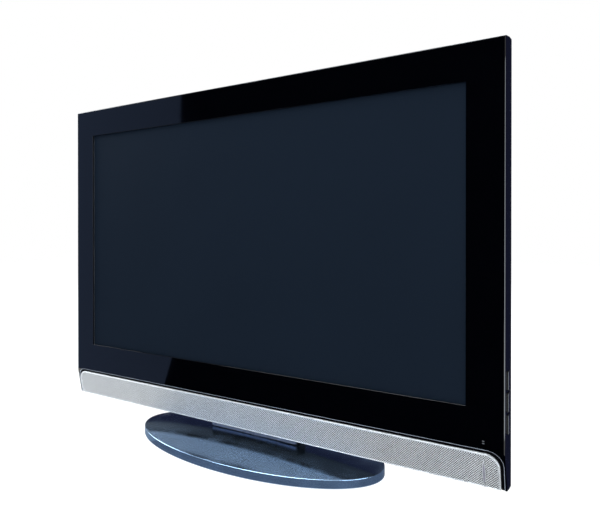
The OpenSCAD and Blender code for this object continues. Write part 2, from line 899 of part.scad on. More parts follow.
module rear_cover() {
    through = [cover_in - over, cabinet_d + over];
    color([0.06, 0.06, 0.07]) in_cabinet() difference() {
        union() {
            difference() {
                cover_form(0);
                cover_form(wall);
            }
            intersection() {
                cover_form(0);
                for (p = screw_points) rod_y(p[0], [skirt_d, screw_seat + screw_well], p[1], boss_r);
            }
        }
        for (p = screw_points) {
            rod_y(p[0], [skirt_d - over, screw_seat + over], p[1], screw_r + 2 * run_gap);
            rod_y(p[0], [screw_seat, screw_seat + 2 * screw_well], p[1], screw_head_r + fit);
        }
        for (p = mount_points) rod_y(p[0], through, p[1], mount_post_r + fit);
        block(bay_x, through, bay_z);
        translate([inlet_x, 0, 0]) plate(inlet_w / 2 + fit, through, inlet_z, inlet_h / 2 + fit);
        block([-opening_hw, opening_hw], opening_y, [cover_z0 - over, cover_z0 + wall + over]);
        cover_vents();
    }
}

module cover_screws() {
    color([0.25, 0.25, 0.27]) in_cabinet() for (p = screw_points) {
        rod_y(p[0], [screw_deep, screw_seat + fit], p[1], screw_r);
        rod_y(p[0], [screw_seat, screw_seat + screw_head_t], p[1], screw_head_r);
    }
}

// Speaker strip: black carrier, leaning perforated grille with its cloth, sensor window
// and the light pipe and board behind it. The perforation is too fine for solids.
module grille_carrier() {
    z = [cabinet_clear + fit, lip_z - fit];
    hw = half_w - leg_t - fit;
    inner_z = [z[0] + carrier_wall, z[1] - carrier_wall];
    color([0.03, 0.03, 0.03]) in_cabinet() difference() {
        intersection() {
            along_x(half_w, [
                [strip_y(z[1]) + carrier_off, z[1]], [strip_y(z[0]) + carrier_off, z[0]],
                [carrier_back, z[0]], [carrier_back, z[1]]
            ]);
            along_y([-over, skirt_d]) arch(hw, z, lip_r - fit);
        }
        intersection() {
            strip_slice(-strip_setback, floor_off, [z[0] - over, z[1] + over]);
            along_y([-strip_setback, skirt_d]) grille_outline(fit);
        }
        intersection() {
            along_x(half_w, [
                [strip_y(inner_z[1]) + floor_off + wall, inner_z[1]],
                [strip_y(inner_z[0]) + floor_off + wall, inner_z[0]],
                [carrier_back + over, inner_z[0]], [carrier_back + over, inner_z[1]]
            ]);
            along_y([-over, skirt_d + over])
                arch(hw - carrier_wall, inner_z, lip_r - fit - carrier_wall);
        }
        for (s = [-1, 1]) along_y([-over, skirt_d]) translate([s * speaker_x, speaker_z])
            speaker_oval(mouth_in);
        sensor_slot(fit);
    }
}

module speaker_grille() {
    color([0.72, 0.75, 0.78]) in_cabinet() difference() {
        intersection() {
            strip_slice(grille_off, grille_off + grille_fold, grille_cut_z);
            along_y([-over, skirt_d]) grille_outline(0);
        }
        intersection() {
            strip_slice(grille_off + grille_t, skirt_d, grille_cut_z);
            along_y([-over, 2 * skirt_d]) grille_outline(-grille_t);
        }
        sensor_slot(run_gap);
    }
}

module grille_cloth() {
    cloth_off = grille_off + grille_t;
    color([0.05, 0.05, 0.05]) in_cabinet() difference() {
        intersection() {
            strip_slice(cloth_off, cloth_off + cloth_t, grille_cut_z);
            along_y([-over, skirt_d]) grille_outline(-grille_t - fit);
        }
        sensor_slot(run_gap);
    }
}

module indicator_lens() {
    z = [sensor_z - sensor_h, sensor_z + sensor_h];
    lens_proud = 0.3;
    lens_off = grille_off - lens_proud;
    color([0.05, 0.03, 0.06]) in_cabinet() intersection() {
        sensor_slot(0);
        along_x(half_w, [
            [strip_y(z[1]) + lens_off, z[1]], [strip_y(z[0]) + lens_off, z[0]],
            [carrier_back, z[0]], [carrier_back, z[1]]
        ]);
    }
}

module status_light_pipe() {
    prong_y = 12;
    stem_hw = 3;
    stem_hh = pipe_pitch / 2 + 2;
    color([0.85, 0.88, 0.9]) in_cabinet() translate([sensor_x, 0, 0]) {
        for (z = pipe_z) plate(pipe_w / 2, [0, prong_y + fit], z, pipe_h / 2);
        plate(stem_hw, [prong_y, carrier_back], lip_z + pipe_up, stem_hh);
    }
}

module sensor_board() {
    left = 15;
    right = 9;
    foot_gap = 1;
    above_pipe = 5;
    x = [sensor_x - left, sensor_x + right];
    z = [cover_z0 + wall + foot_gap, pipe_z[1] + above_pipe];
    color([0.1, 0.35, 0.2]) in_cabinet() block(x, [carrier_back, carrier_back + board_t], z);
}

// Speakers: a closed box each, with a long oval driver and its cone in the front wall
speaker_up = 1.9;
speaker_z = (grille_z[0] + grille_z[1]) / 2 + speaker_up;
flange_t = 2;
box_y0 = skirt_d;
box_wall = 2;
ledge = 3;
cone_t = 1;

// How far the ovals lie inside the flange: carrier mouth, box mouth and cone seat, basket
mouth_in = [8, 3];
seat_in = [7.5, 2.5];
basket_in = [8.5, 3.5];

// The long oval of a speaker, drawn in along its length and its height
module speaker_oval(in) {
    stadium(speaker_w - 2 * in[0], speaker_h - 2 * in[1]);
}

module speaker_box(s) {
    box_side = 30;
    box_hw = speaker_w / 2 + box_side;
    lid_gap = 2.2;
    y1 = 56;
    z = [cover_z0 + wall, lip_z - lid_gap];
    color([0.08, 0.08, 0.08]) in_cabinet() translate([s * speaker_x, 0, 0]) difference() {
        block([-box_hw, box_hw], [box_y0, y1], z);
        block([box_wall - box_hw, box_hw - box_wall], [box_y0 + box_wall, y1 - box_wall],
            [z[0] + box_wall, z[1] - box_wall]);
        along_y([box_y0 - over, box_y0 + box_wall + over]) translate([0, speaker_z])
            speaker_oval(seat_in);
    }
}

module speaker_driver(s) {
    y0 = box_y0 - flange_t;
    basket_deep = 12;
    basket_y = box_y0 + basket_deep;
    basket_floor = 2;
    magnet_r = 13;
    magnet_t = 12;
    color([0.35, 0.35, 0.37]) in_cabinet() translate([s * speaker_x, 0, speaker_z]) difference() {
        union() {
            along_y([y0, box_y0]) speaker_oval([0, 0]);
            along_y([box_y0 - fit, basket_y]) speaker_oval(basket_in);
            rod_y(0, [basket_y - fit, basket_y + magnet_t], 0, magnet_r);
        }
        along_y([y0 - over, y0 + cone_t]) speaker_oval(seat_in);
        along_y([y0, basket_y - basket_floor]) speaker_oval(seat_in + [ledge, ledge]);
    }
}

module speaker_cone(s) {
    y0 = box_y0 - flange_t;
    bowl_in = [25, 10];
    bowl_deep = 4;
    color([0.15, 0.15, 0.15]) in_cabinet() translate([s * speaker_x, 0, speaker_z]) {
        along_y([y0, y0 + cone_t]) speaker_oval(seat_in + [fit, fit]);
        along_y([y0 + cone_t - fit, y0 + bowl_deep]) speaker_oval(bowl_in);
    }
}

module speaker_box_left() {
    speaker_box(-1);
}

module speaker_box_right() {
    speaker_box(1);
}

module speaker_driver_left() {
    speaker_driver(-1);
}

module speaker_driver_right() {
    speaker_driver(1);
}

module speaker_cone_left() {
    speaker_cone(-1);
}

module speaker_cone_right() {
    speaker_cone(1);
}

// Keys: a carrier on the bezel's front plate holds the board and two rocker pins. The power
// key slides between ears, and its shoulder rests behind the skirt.
module key_carrier() {
    ear_hz = 3;
    ear_past = 2.2;
    plate_past = 2;
    ear_x = [key_plate_x, pivot_x + ear_past];
    key_margin = key_h / 2 + plate_past;
    color([0.1, 0.1, 0.1]) in_cabinet() {
        block([key_plate_x, key_board_x], [wall, key_y + ear_y + ear_t],
            [volume_z - key_margin, power_key_z + key_margin]);
        for (y = [key_y - ear_y - ear_t, key_y + ear_y])
            for (z = [volume_z, programme_z, power_key_z]) difference() {
                block(ear_x, [y, y + ear_t], [z - ear_hz, z + ear_hz]);
                if (z != power_key_z)
                    rod_y(pivot_x, [y - over, y + ear_t + over], z, pin_r + pin_gap / 2);
            }
    }
}

module key_board() {
    switch_hw = 3;
    plunger_r = 1.6;
    board_hh = key_h / 2 + 1;
    rocker_switches = [for (m = [programme_z, volume_z]) for (s = [-1, 1]) m + s * switch_at];
    color([0.1, 0.35, 0.2]) in_cabinet() {
        block([key_board_x, switch_x], key_span, [volume_z - board_hh, power_key_z + board_hh]);
        for (z = concat(power_key_z, rocker_switches)) {
            block([switch_x - fit, switch_x + switch_t], [key_y - switch_hw, key_y + switch_hw],
                [z - switch_hw, z + switch_hw]);
            rod_x([switch_x, switch_x + switch_t + plunger_t], key_y, z, plunger_r);
        }
    }
}

module power_key() {
    shoulder = 1.6;
    shoulder_hh = key_h / 2 + 1;
    inner_wall = skirt_x(key_span[0]) - wall - fit;
    color([0.05, 0.05, 0.06]) in_cabinet() {
        block([rocker_in + press_free - key_free, key_face_x], key_span,
            [power_key_z - key_h / 2, power_key_z + key_h / 2]);
        block([inner_wall - shoulder, inner_wall], key_span,
            [power_key_z - shoulder_hh, power_key_z + shoulder_hh]);
    }
}

module rocker(z) {
    color([0.05, 0.05, 0.06]) in_cabinet() difference() {
        block([rocker_in, key_face_x], key_span, [z - key_h / 2, z + key_h / 2]);
        rod_y(pivot_x, [key_span[0] - over, key_span[1] + over], z, pin_r + pin_gap);
    }
}

module programme_rocker() {
    rocker(programme_z);
}

module volume_rocker() {
    rocker(volume_z);
}

module rocker_pins() {
    reach = ear_y + ear_t;
    color([0.75, 0.75, 0.77]) in_cabinet()
        for (z = [programme_z, volume_z]) rod_y(pivot_x, [key_y - reach, key_y + reach], z, pin_r);
}

// Neck: two plastic half shells round a steel bracket that is bolted to the chassis
module neck_half(front) {
    y0 = front ? axis_y - neck_d : axis_y;
    web_t = 2;
    web_z = cross_z + cross_t;
    web_y = [axis_y - neck_d / 2 + 1, axis_y + neck_d / 2 - 1];
    upright_y = [chassis_y - fit, chassis_y + upright_t + fit];
    color([0.02, 0.02, 0.03]) in_cabinet() intersection() {
        union() {
            translate([0, axis_y, neck_z0]) linear_extrude(neck_z1 - neck_z0) difference() {
                round_rect(neck_w, neck_d, neck_r);
                round_rect(neck_w - 2 * neck_wall, neck_d - 2 * neck_wall, neck_r - neck_wall);
            }
            for (y = [[web_y[0], upright_y[0]], [upright_y[1], web_y[1]]])
                block([-cross_hw, cross_hw], y, [web_z, web_z + web_t]);
        }
        block([-neck_w, neck_w], [y0, y0 + neck_d], [neck_z0 - over, neck_z1 + over]);
    }
}

module neck_front_cover() {
    neck_half(true);
}

module neck_rear_cover() {
    neck_half(false);
}

module neck_bracket() {
    cross_hd = 10;
    color([0.55, 0.56, 0.58]) in_cabinet() difference() {
        union() {
            block([-cross_hw, cross_hw], [axis_y - cross_hd, axis_y + cross_hd],
                [cross_z, cross_z + cross_t]);
            for (s = [-1, 1]) translate([s * upright_x, 0, 0])
                block([-upright_w / 2, upright_w / 2], [chassis_y, chassis_y + upright_t],
                    [cross_z, upright_top]);
        }
        for (s = [-1, 1]) for (z = bolt_z)
            rod_y(s * upright_x, [chassis_y - over, chassis_y + upright_t + over], z, bolt_r + fit);
    }
}

module neck_bolts() {
    head_t = 4;
    head_wide = 2;
    head_r = bolt_r + head_wide;
    reach = 8;
    y1 = chassis_y + upright_t;
    color([0.6, 0.6, 0.62]) in_cabinet() for (s = [-1, 1]) for (z = bolt_z) {
        rod_y(s * upright_x, [chassis_y - reach, y1 + fit], z, bolt_r);
        rod_y(s * upright_x, [y1, y1 + head_t], z, head_r);
    }
}

// Swivel: a steel disc with a tube turns on the pivot pin inside the base, between a
// slippery ring and a retaining ring. A stop pin runs in the disc's curved slot.
module turntable() {
    slot_r = stop_r + fit;
    slot_half = swivel_half + asin(slot_r / stop_at);
    color([0.6, 0.61, 0.63]) translate([0, neck_back, 0]) difference() {
        union() {
            rod_z(0, 0, [disc_z, disc_top], disc_r);
            rod_z(0, 0, [disc_z, cross_z], tube_r);
        }
        rod_z(0, 0, [disc_z - over, cross_z + over], pivot_r + pin_gap);
        translate([0, 0, disc_z - over]) rotate([0, 0, 90 - slot_half])
            rotate_extrude(angle = 2 * slot_half) translate([stop_at - slot_r, 0])
                square([2 * slot_r, disc_t + 2 * over]);
    }
}

module thrust_ring() {
    outer_r = stop_at - 2 * stop_r;
    ring_w = 14;
    color([0.92, 0.92, 0.88]) translate([0, neck_back, 0]) difference() {
        rod_z(0, 0, [base_top, base_top + thrust_t], outer_r);
        rod_z(0, 0, [base_top - over, base_top + thrust_t + over], outer_r - ring_w);
    }
}

module retaining_ring() {
    lip_low = disc_top + fit;
    inner_r = disc_r + ring_gap;
    color([0.5, 0.51, 0.53]) translate([0, neck_back, 0]) difference() {
        rod_z(0, 0, [base_top, lip_low + ring_lip], inner_r + ring_wall);
        rod_z(0, 0, [base_top - over, lip_low], inner_r);
        rod_z(0, 0, [lip_low - over, lip_low + ring_lip + over], disc_r - ring_lap);
    }
}

module pivot_pin() {
    color([0.7, 0.7, 0.72]) rod_z(0, neck_back, [base_top, cross_z - pin_short], pivot_r);
}

module stop_pin() {
    color([0.7, 0.7, 0.72]) rod_z(0, neck_back + stop_at, [base_top, disc_top - stop_short], stop_r);
}

// Base: gloss cover with a crowned top over a steel plate on rubber feet
module base_plate() {
    color([0.3, 0.3, 0.32]) difference() {
        translate([0, 0, foot_h]) scale([base_w / 2 - base_inset, base_d / 2 - base_inset, 1])
            cylinder(h = base_plate_t, r = 1);
        for (p = base_screw_points) rod_z(p[0], p[1], [0, base_top + over], screw_r + run_gap);
    }
}

// The crowned form of the base, drawn in by a wall
module base_form(inset) {
    mid_z = rim_z - inset - ball_rise * ball_low;
    bottom = (foot_h - (inset > 0 ? over : 0) - mid_z) / ball_rise;
    translate([0, 0, mid_z]) scale([base_w / 2 - inset, base_d / 2 - inset, ball_rise]) intersection() {
        sphere(ball_r, $fn = 256);
        translate([0, 0, bottom]) cylinder(h = ball_r, r = 1, $fn = 256);
    }
}

module base_cover() {
    pilot_top = base_top + 8;
    tube_gap = 1.5;
    cut_z = rim_z - 5;
    color([0.02, 0.02, 0.03]) difference() {
        union() {
            difference() {
                base_form(0);
                base_form(base_wall);
            }
            for (p = base_screw_points)
                rod_z(p[0], p[1], [base_top, crown_at(p[0], p[1]) - base_wall / 2], boss_r);
        }
        for (p = base_screw_points) rod_z(p[0], p[1], [base_top - over, pilot_top], screw_r + run_gap);
        rod_z(0, neck_back, [cut_z, crown_z + over], tube_r + tube_gap);
    }
}

module base_feet() {
    color([0.08, 0.08, 0.08]) for (p = foot_points) rod_z(p[0], p[1], [0, foot_h], foot_r);
}

module base_screws() {
    head_t = 1.2;
    reach = 7;
    color([0.6, 0.6, 0.62]) for (p = base_screw_points) {
        rod_z(p[0], p[1], [foot_h - fit, base_top + reach], screw_r);
        rod_z(p[0], p[1], [foot_h - head_t, foot_h], screw_head_r);
    }
}

front_bezel();
screen_gasket();
panel_frame();
lcd_glass();
panel_mould();
prism_sheets();
diffuser_plate();
backlight_lamps();
lamp_holders();
backlight_tray();
panel_board();
chassis_plate();
board_standoffs();
main_board();
main_heatsink();
power_board();
power_components();
inverter_board();
wall_mount_posts();
connector_plate();
scart_sockets();
hdmi_sockets();
vga_socket();
aerial_socket();
av_sockets();
mains_inlet();
rear_cover();
cover_screws();
grille_carrier();
speaker_grille();
grille_cloth();
indicator_lens();
status_light_pipe();
sensor_board();
speaker_box_left();
speaker_box_right();
speaker_driver_left();
speaker_driver_right();
speaker_cone_left();
speaker_cone_right();
key_carrier();
key_board();
power_key();
programme_rocker();
volume_rocker();
rocker_pins();
neck_front_cover();
neck_rear_cover();
neck_bracket();
neck_bolts();
turntable();
thrust_ring();
retaining_ring();
pivot_pin();
stop_pin();
base_plate();
base_cover();
base_feet();
base_screws();
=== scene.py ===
from contextlib import contextmanager
from math import atan2, cos, hypot, radians

import bmesh
import bpy
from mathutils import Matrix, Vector


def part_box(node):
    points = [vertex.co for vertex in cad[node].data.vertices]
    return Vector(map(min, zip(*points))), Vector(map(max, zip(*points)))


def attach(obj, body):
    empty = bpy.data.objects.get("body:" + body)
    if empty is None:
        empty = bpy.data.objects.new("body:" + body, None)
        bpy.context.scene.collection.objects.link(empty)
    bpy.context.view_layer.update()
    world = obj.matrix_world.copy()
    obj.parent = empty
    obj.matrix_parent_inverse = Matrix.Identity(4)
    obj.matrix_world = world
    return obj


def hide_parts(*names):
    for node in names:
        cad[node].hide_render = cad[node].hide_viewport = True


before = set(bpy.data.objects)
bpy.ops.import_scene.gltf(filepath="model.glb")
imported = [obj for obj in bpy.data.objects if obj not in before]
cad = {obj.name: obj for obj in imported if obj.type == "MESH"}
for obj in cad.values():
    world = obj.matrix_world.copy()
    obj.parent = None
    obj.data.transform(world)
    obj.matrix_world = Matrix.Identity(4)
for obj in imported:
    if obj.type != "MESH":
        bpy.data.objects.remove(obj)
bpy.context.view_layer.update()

# Camera
# It stands to the right of the set at the height of the picture. The lens axis lies above the
# middle of the image, so the lens is shifted down.
image_width_px = 600
focal_length_px = 552.2
axis_above_middle_px = 29.6
sensor_width_mm = 36
camera_place = (0.5367, -0.7122, 0.3449)
camera_yaw = radians(32.16)
camera_dip = radians(0.25)
camera_turn = (radians(90) - camera_dip, 0, camera_yaw)
bpy.ops.object.camera_add(location=camera_place, rotation=camera_turn)
camera = bpy.context.object
camera.data.sensor_width = sensor_width_mm
camera.data.lens = focal_length_px / image_width_px * sensor_width_mm
camera.data.shift_y = -axis_above_middle_px / image_width_px
camera.data.clip_start = 0.01
bpy.context.scene.camera = camera


# Base plate, feet and screws
# The stand rests on six rubber feet glued under a pressed steel plate. The plate is powder
# coated and held to the oval cover by four blackened screws.
def add_node(finish, kind, inputs):
    """Adds a shading node. An input that is another node's socket is linked, a value is set."""
    node = finish.node_tree.nodes.new("ShaderNode" + kind)
    for socket, value in inputs.items():
        if isinstance(value, bpy.types.NodeSocket):
            finish.node_tree.links.new(value, node.inputs[socket])
        else:
            node.inputs[socket].default_value = value
    return node


def new_finish(name, even):
    """A node material whose even values are set straight on its shader."""
    finish = bpy.data.materials.new(name)
    finish.use_nodes = True
    shader = finish.node_tree.nodes["Principled BSDF"]
    for socket, value in even.items():
        shader.inputs[socket].default_value = value
    return finish


def vary(finish, **patterns):
    """Feeds patterns to the shader: colour, roughness or normal."""
    sockets = {"colour": "Base Color", "roughness": "Roughness", "normal": "Normal"}
    shader = finish.node_tree.nodes["Principled BSDF"]
    for name, pattern in patterns.items():
        finish.node_tree.links.new(pattern, shader.inputs[sockets[name]])


def on_piece(finish, stretch=(1, 1, 1), turn=(0, 0, 0)):
    """The piece's own coordinates in metres, stretched or turned for a directional pattern."""
    place = add_node(finish, "TexCoord", {}).outputs["Object"]
    mapping = {"Vector": place, "Scale": stretch, "Rotation": turn}
    return add_node(finish, "Mapping", mapping).outputs["Vector"]


def speckle(finish, place, per_metre, detail=2.0):
    """A soft random pattern, most of it between 0.3 and 0.7."""
    noise = {"Vector": place, "Scale": per_metre, "Detail": detail}
    return add_node(finish, "TexNoise", noise).outputs["Fac"]


def spread(finish, pattern, low, high):
    """Stretches a random pattern over the range from low to high."""
    ends = {"Value": pattern, "From Min": 0.3, "From Max": 0.7, "To Min": low, "To Max": high}
    return add_node(finish, "MapRange", ends).outputs["Result"]


def shades(finish, pattern, first, second, start=0.3, end=0.7):
    """Turns a pattern into a colour between two shades."""
    ramp = add_node(finish, "ValToRGB", {"Fac": pattern})
    for stop, place, shade in zip(ramp.color_ramp.elements, (start, end), (first, second)):
        stop.position = place
        stop.color = (*shade, 1)
    return ramp.outputs["Color"]


def relief(finish, pattern, depth):
    """Raises a pattern by a depth in metres."""
    bump = {"Height": pattern, "Distance": depth, "Strength": 1.0}
    return add_node(finish, "Bump", bump).outputs["Normal"]


def tinted(colour, share):
    """A colour made lighter or darker."""
    return tuple(channel * share for channel in colour)


def dress(finish, *nodes):
    """Gives CAD pieces their finish."""
    for node in nodes:
        for slot in cad[node].material_slots:
            slot.material = finish


def grained(name, colour, roughness, per_metre, depth, even=None):
    """A finish with a fine grain in its relief and gloss and a slow drift in its colour."""
    finish = new_finish(name, even or {})
    place = on_piece(finish)
    grain = speckle(finish, place, per_metre)
    drift = speckle(finish, place, per_metre / 40)
    vary(
        finish,
        colour=shades(finish, drift, tinted(colour, 0.85), tinted(colour, 1.15)),
        roughness=spread(finish, grain, roughness * 0.85, min(1, roughness * 1.15)),
        normal=relief(finish, grain, depth),
    )
    return finish


def sheet_metal(name, colour, roughness, stretch):
    """Rolled or turned metal, with fine lines along the axis that is stretched least."""
    finish = new_finish(name, {"Metallic": 1.0})
    lines = speckle(finish, on_piece(finish, stretch), 40, 4)
    cloud = speckle(finish, on_piece(finish), 60)
    vary(
        finish,
        colour=shades(finish, cloud, tinted(colour, 0.88), tinted(colour, 1.08)),
        roughness=spread(finish, lines, roughness * 0.75, roughness * 1.25),
        normal=relief(finish, lines, 0.00001),
    )
    return finish


black_powder_coat = grained("black_powder_coat", (0.018, 0.019, 0.021), 0.55, 1800, 0.00005)
foot_rubber = grained("foot_rubber", (0.02, 0.02, 0.021), 0.85, 2500, 0.00004)
black_screw = sheet_metal("black_screw", (0.09, 0.09, 0.095), 0.4, (20, 20, 20))
dress(black_powder_coat, "base_plate")
dress(foot_rubber, "base_feet")
dress(black_screw, "base_screws")

# Swivel
# A zinc plated turntable with its tube turns on a slippery plastic ring. A ring of sheet steel
# holds it down, and a pin in a curved slot stops it at either side.
zinc_steel = sheet_metal("zinc_steel", (0.56, 0.57, 0.58), 0.34, (30, 1, 30))
slide_plastic = grained("slide_plastic", (0.72, 0.71, 0.67), 0.4, 900, 0.00002)
dress(zinc_steel, "turntable", "retaining_ring", "pivot_pin", "stop_pin")
dress(slide_plastic, "thrust_ring")

# Base cover
# The oval foot of the stand: a gloss moulding with a gently crowned top, a straight rim with a
# rounded upper edge and a hole for the swivel tube. It drops over the base plate.
base_low, base_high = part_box("base_cover")
crown_rise = 0.009
rim_top = base_high.z - crown_rise
base_wall = 0.0025
rim_radius = 0.0009
ball_radius = 1.25
ball_cut = 0.75
ball_segments, ball_rings = 192, 96
tube_hole_radius = 0.0105
swivel_y = 0.010
touching = 0.00001


def pick(piece):
    """Selects one piece alone and makes it the active one."""
    bpy.ops.object.select_all(action="DESELECT")
    piece.select_set(True)
    bpy.context.view_layer.objects.active = piece


@contextmanager
def editing(piece):
    """Opens one piece alone in edit mode."""
    pick(piece)
    bpy.ops.object.mode_set(mode="EDIT")
    yield
    bpy.ops.object.mode_set(mode="OBJECT")


def choose(piece, kind, wanted):
    """Selects the corners, edges or faces of the open piece for which wanted() is true."""
    bpy.ops.mesh.select_mode(type=kind)
    bpy.ops.mesh.select_all(action="DESELECT")
    shape = bmesh.from_edit_mesh(piece.data)
    parts = {"VERT": shape.verts, "EDGE": shape.edges, "FACE": shape.faces}[kind]
    for part in parts:
        if wanted(part):
            part.select_set(True)
    shape.select_flush_mode()
    bmesh.update_edit_mesh(piece.data)


def face_outward():
    """Turns all faces of the open piece outwards."""
    bpy.ops.mesh.select_all(action="SELECT")
    bpy.ops.mesh.normals_make_consistent(inside=False)


def settle(name):
    """Names the piece just added and puts its place and size into its mesh."""
    piece = bpy.context.object
    piece.name = name
    piece.data.name = name
    bpy.ops.object.transform_apply(location=True, rotation=True, scale=True)
    return piece


def apply_modifiers(piece):
    """Makes a piece's modifiers part of its mesh."""
    pick(piece)
    for modifier in list(piece.modifiers):
        bpy.ops.object.modifier_apply(modifier=modifier.name)


def thicken(piece, wall):
    """Gives a sheet its wall, on the inner side."""
    shell = piece.modifiers.new("wall", "SOLIDIFY")
    shell.thickness = wall
    shell.offset = -1
    shell.use_even_offset = True
    apply_modifiers(piece)


def add_rod(name, centre, radius, length, along="Y", sides=48):
    """A cylinder along one axis, to be shaped or to cut with."""
    turn = {"X": (0, radians(90), 0), "Y": (radians(90), 0, 0), "Z": (0, 0, 0)}[along]
    bpy.ops.object.select_all(action="DESELECT")
    bpy.ops.mesh.primitive_cylinder_add(
        vertices=sides, radius=radius, depth=length, location=centre, rotation=turn)
    return settle(name)


def cut_with(piece, tool, operation="DIFFERENCE"):
    """Cuts one closed shape by another and throws the tool away."""
    cut = piece.modifiers.new("cut", "BOOLEAN")
    cut.operation = operation
    cut.solver = "EXACT"
    cut.object = tool
    apply_modifiers(piece)
    bpy.data.objects.remove(tool)


def round_over(piece, wanted, radius, segments=3, material=-1):
    """Rounds the chosen edges of a piece."""
    with editing(piece):
        choose(piece, "EDGE", wanted)
        bpy.ops.mesh.bevel(
            offset=radius, segments=segments, profile=0.5, affect="EDGES", clamp_overlap=True,
            material=material)


def lies_at(part, **places):
    """True where every corner of an edge or face lies at the given x, y or z."""
    return all(
        abs(getattr(corner.co, axis) - place) < touching
        for corner in part.verts for axis, place in places.items())


def polish(piece, angle=35):
    """Smooth shading over rounded edges, with flat faces kept flat."""
    pick(piece)
    bpy.ops.object.shade_smooth_by_angle(angle=radians(angle))
    even = piece.modifiers.new("even faces", "WEIGHTED_NORMAL")
    even.keep_sharp = True
    apply_modifiers(piece)


def hand_in(piece, finish, body, slot, *nodes):
    """Gives a finished piece its finish and its body, and hides the CAD nodes that it stands for.
    """
    if not piece.data.materials:
        piece.data.materials.append(finish)
    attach(piece, body)
    if nodes:
        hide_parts(*nodes)


def lacquer(name, colour, roughness, even=None):
    """Polished plastic: faint haze in the gloss and a slight wave in the surface."""
    finish = new_finish(name, even or {})
    place = on_piece(finish)
    haze = speckle(finish, place, 35, 4)
    wave = speckle(finish, place, 18)
    vary(
        finish,
        colour=shades(finish, haze, tinted(colour, 0.9), tinted(colour, 1.1)),
        roughness=spread(finish, haze, roughness * 0.6, roughness * 1.4),
        normal=relief(finish, wave, 0.00004),
    )
    return finish


bpy.ops.object.select_all(action="DESELECT")
bpy.ops.mesh.primitive_uv_sphere_add(
    segments=ball_segments, ring_count=ball_rings, radius=ball_radius)
base_cover = bpy.context.object
with editing(base_cover):
    bpy.ops.mesh.select_all(action="SELECT")
    bpy.ops.mesh.bisect(plane_co=(0, 0, ball_cut), plane_no=(0, 0, 1), clear_inner=True)
squash_z = crown_rise / (ball_radius - ball_cut)
base_cover.scale = (base_high.x, -base_low.y, squash_z)
base_cover.location = (0, 0, rim_top - ball_cut * squash_z)
settle("stand_base_cover")
with editing(base_cover):
    choose(base_cover, "EDGE", lambda edge: edge.is_boundary)
    bpy.ops.mesh.extrude_edges_move(
        TRANSFORM_OT_translate={"value": (0, 0, base_low.z - rim_top)})
    face_outward()
round_over(base_cover, lambda edge: lies_at(edge, z=rim_top), rim_radius, 4)
thicken(base_cover, base_wall)
tube_hole = add_rod("tube_hole", (0, swivel_y, base_high.z), tube_hole_radius, crown_rise, "Z")
cut_with(base_cover, tube_hole)
polish(base_cover)
stand_paint = lacquer("stand_paint", (0.295, 0.425, 0.6), 0.18, {"Metallic": 0.97})
hand_in(base_cover, stand_paint, "base", "gloss_black", "base_cover")

# Neck
# A bent steel bracket carries the set on the swivel tube and is bolted to the chassis. Two black
# half shells clip round it and meet in a seam. A blue band along the foot of their middle is
# painted light where light from the front reaches under the set. The black above it and at both
# ends is partly painted shade.
neck_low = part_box("neck_front_cover")[0]
neck_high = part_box("neck_rear_cover")[1]
neck_radius = 0.006
neck_wall = 0.0025
neck_edge = 0.0004
neck_fold = radians(60)
parallel = 0.999
# Neck colours: a painted lit blue along the foot of the middle, and black that is partly painted
# shade above it and at both ends.
neck_lit_blue, neck_black_and_shade = (0.2, 0.24, 0.35), (0.003, 0.004, 0.006)
lit_half, lit_height, lit_fade = 0.082, 0.003, 0.003
lit_top = neck_low.z + lit_height
bracket_paint = grained("bracket_paint", (0.05, 0.051, 0.053), 0.45, 1500, 0.00003)
bolt_zinc = sheet_metal("bolt_zinc", (0.6, 0.6, 0.58), 0.3, (20, 20, 20))
dress(bracket_paint, "neck_bracket")
dress(bolt_zinc, "neck_bolts")


def add_block(name, low, high):
    """A cube stretched between two corners, to be shaped or to cut with."""
    low, high = Vector(low), Vector(high)
    bpy.ops.object.select_all(action="DESELECT")
    bpy.ops.mesh.primitive_cube_add(size=1, location=(low + high) / 2, scale=high - low)
    return settle(name)


def runs_along(edge, axis):
    """True for an edge parallel to an axis."""
    direction = edge.verts[1].co - edge.verts[0].co
    return abs(direction.normalized()["xyz".index(axis)]) > parallel


def reckon(finish, operation, *values):
    """One step of arithmetic on patterns."""
    step = add_node(finish, "Math", dict(enumerate(values)))
    step.operation = operation
    return step.outputs["Value"]


def fade(finish, value, start, end):
    """A pattern that rises from 0 to 1 while a value goes from start to end."""
    ends = {"Value": value, "From Min": start, "From Max": end}
    return add_node(finish, "MapRange", ends).outputs["Result"]


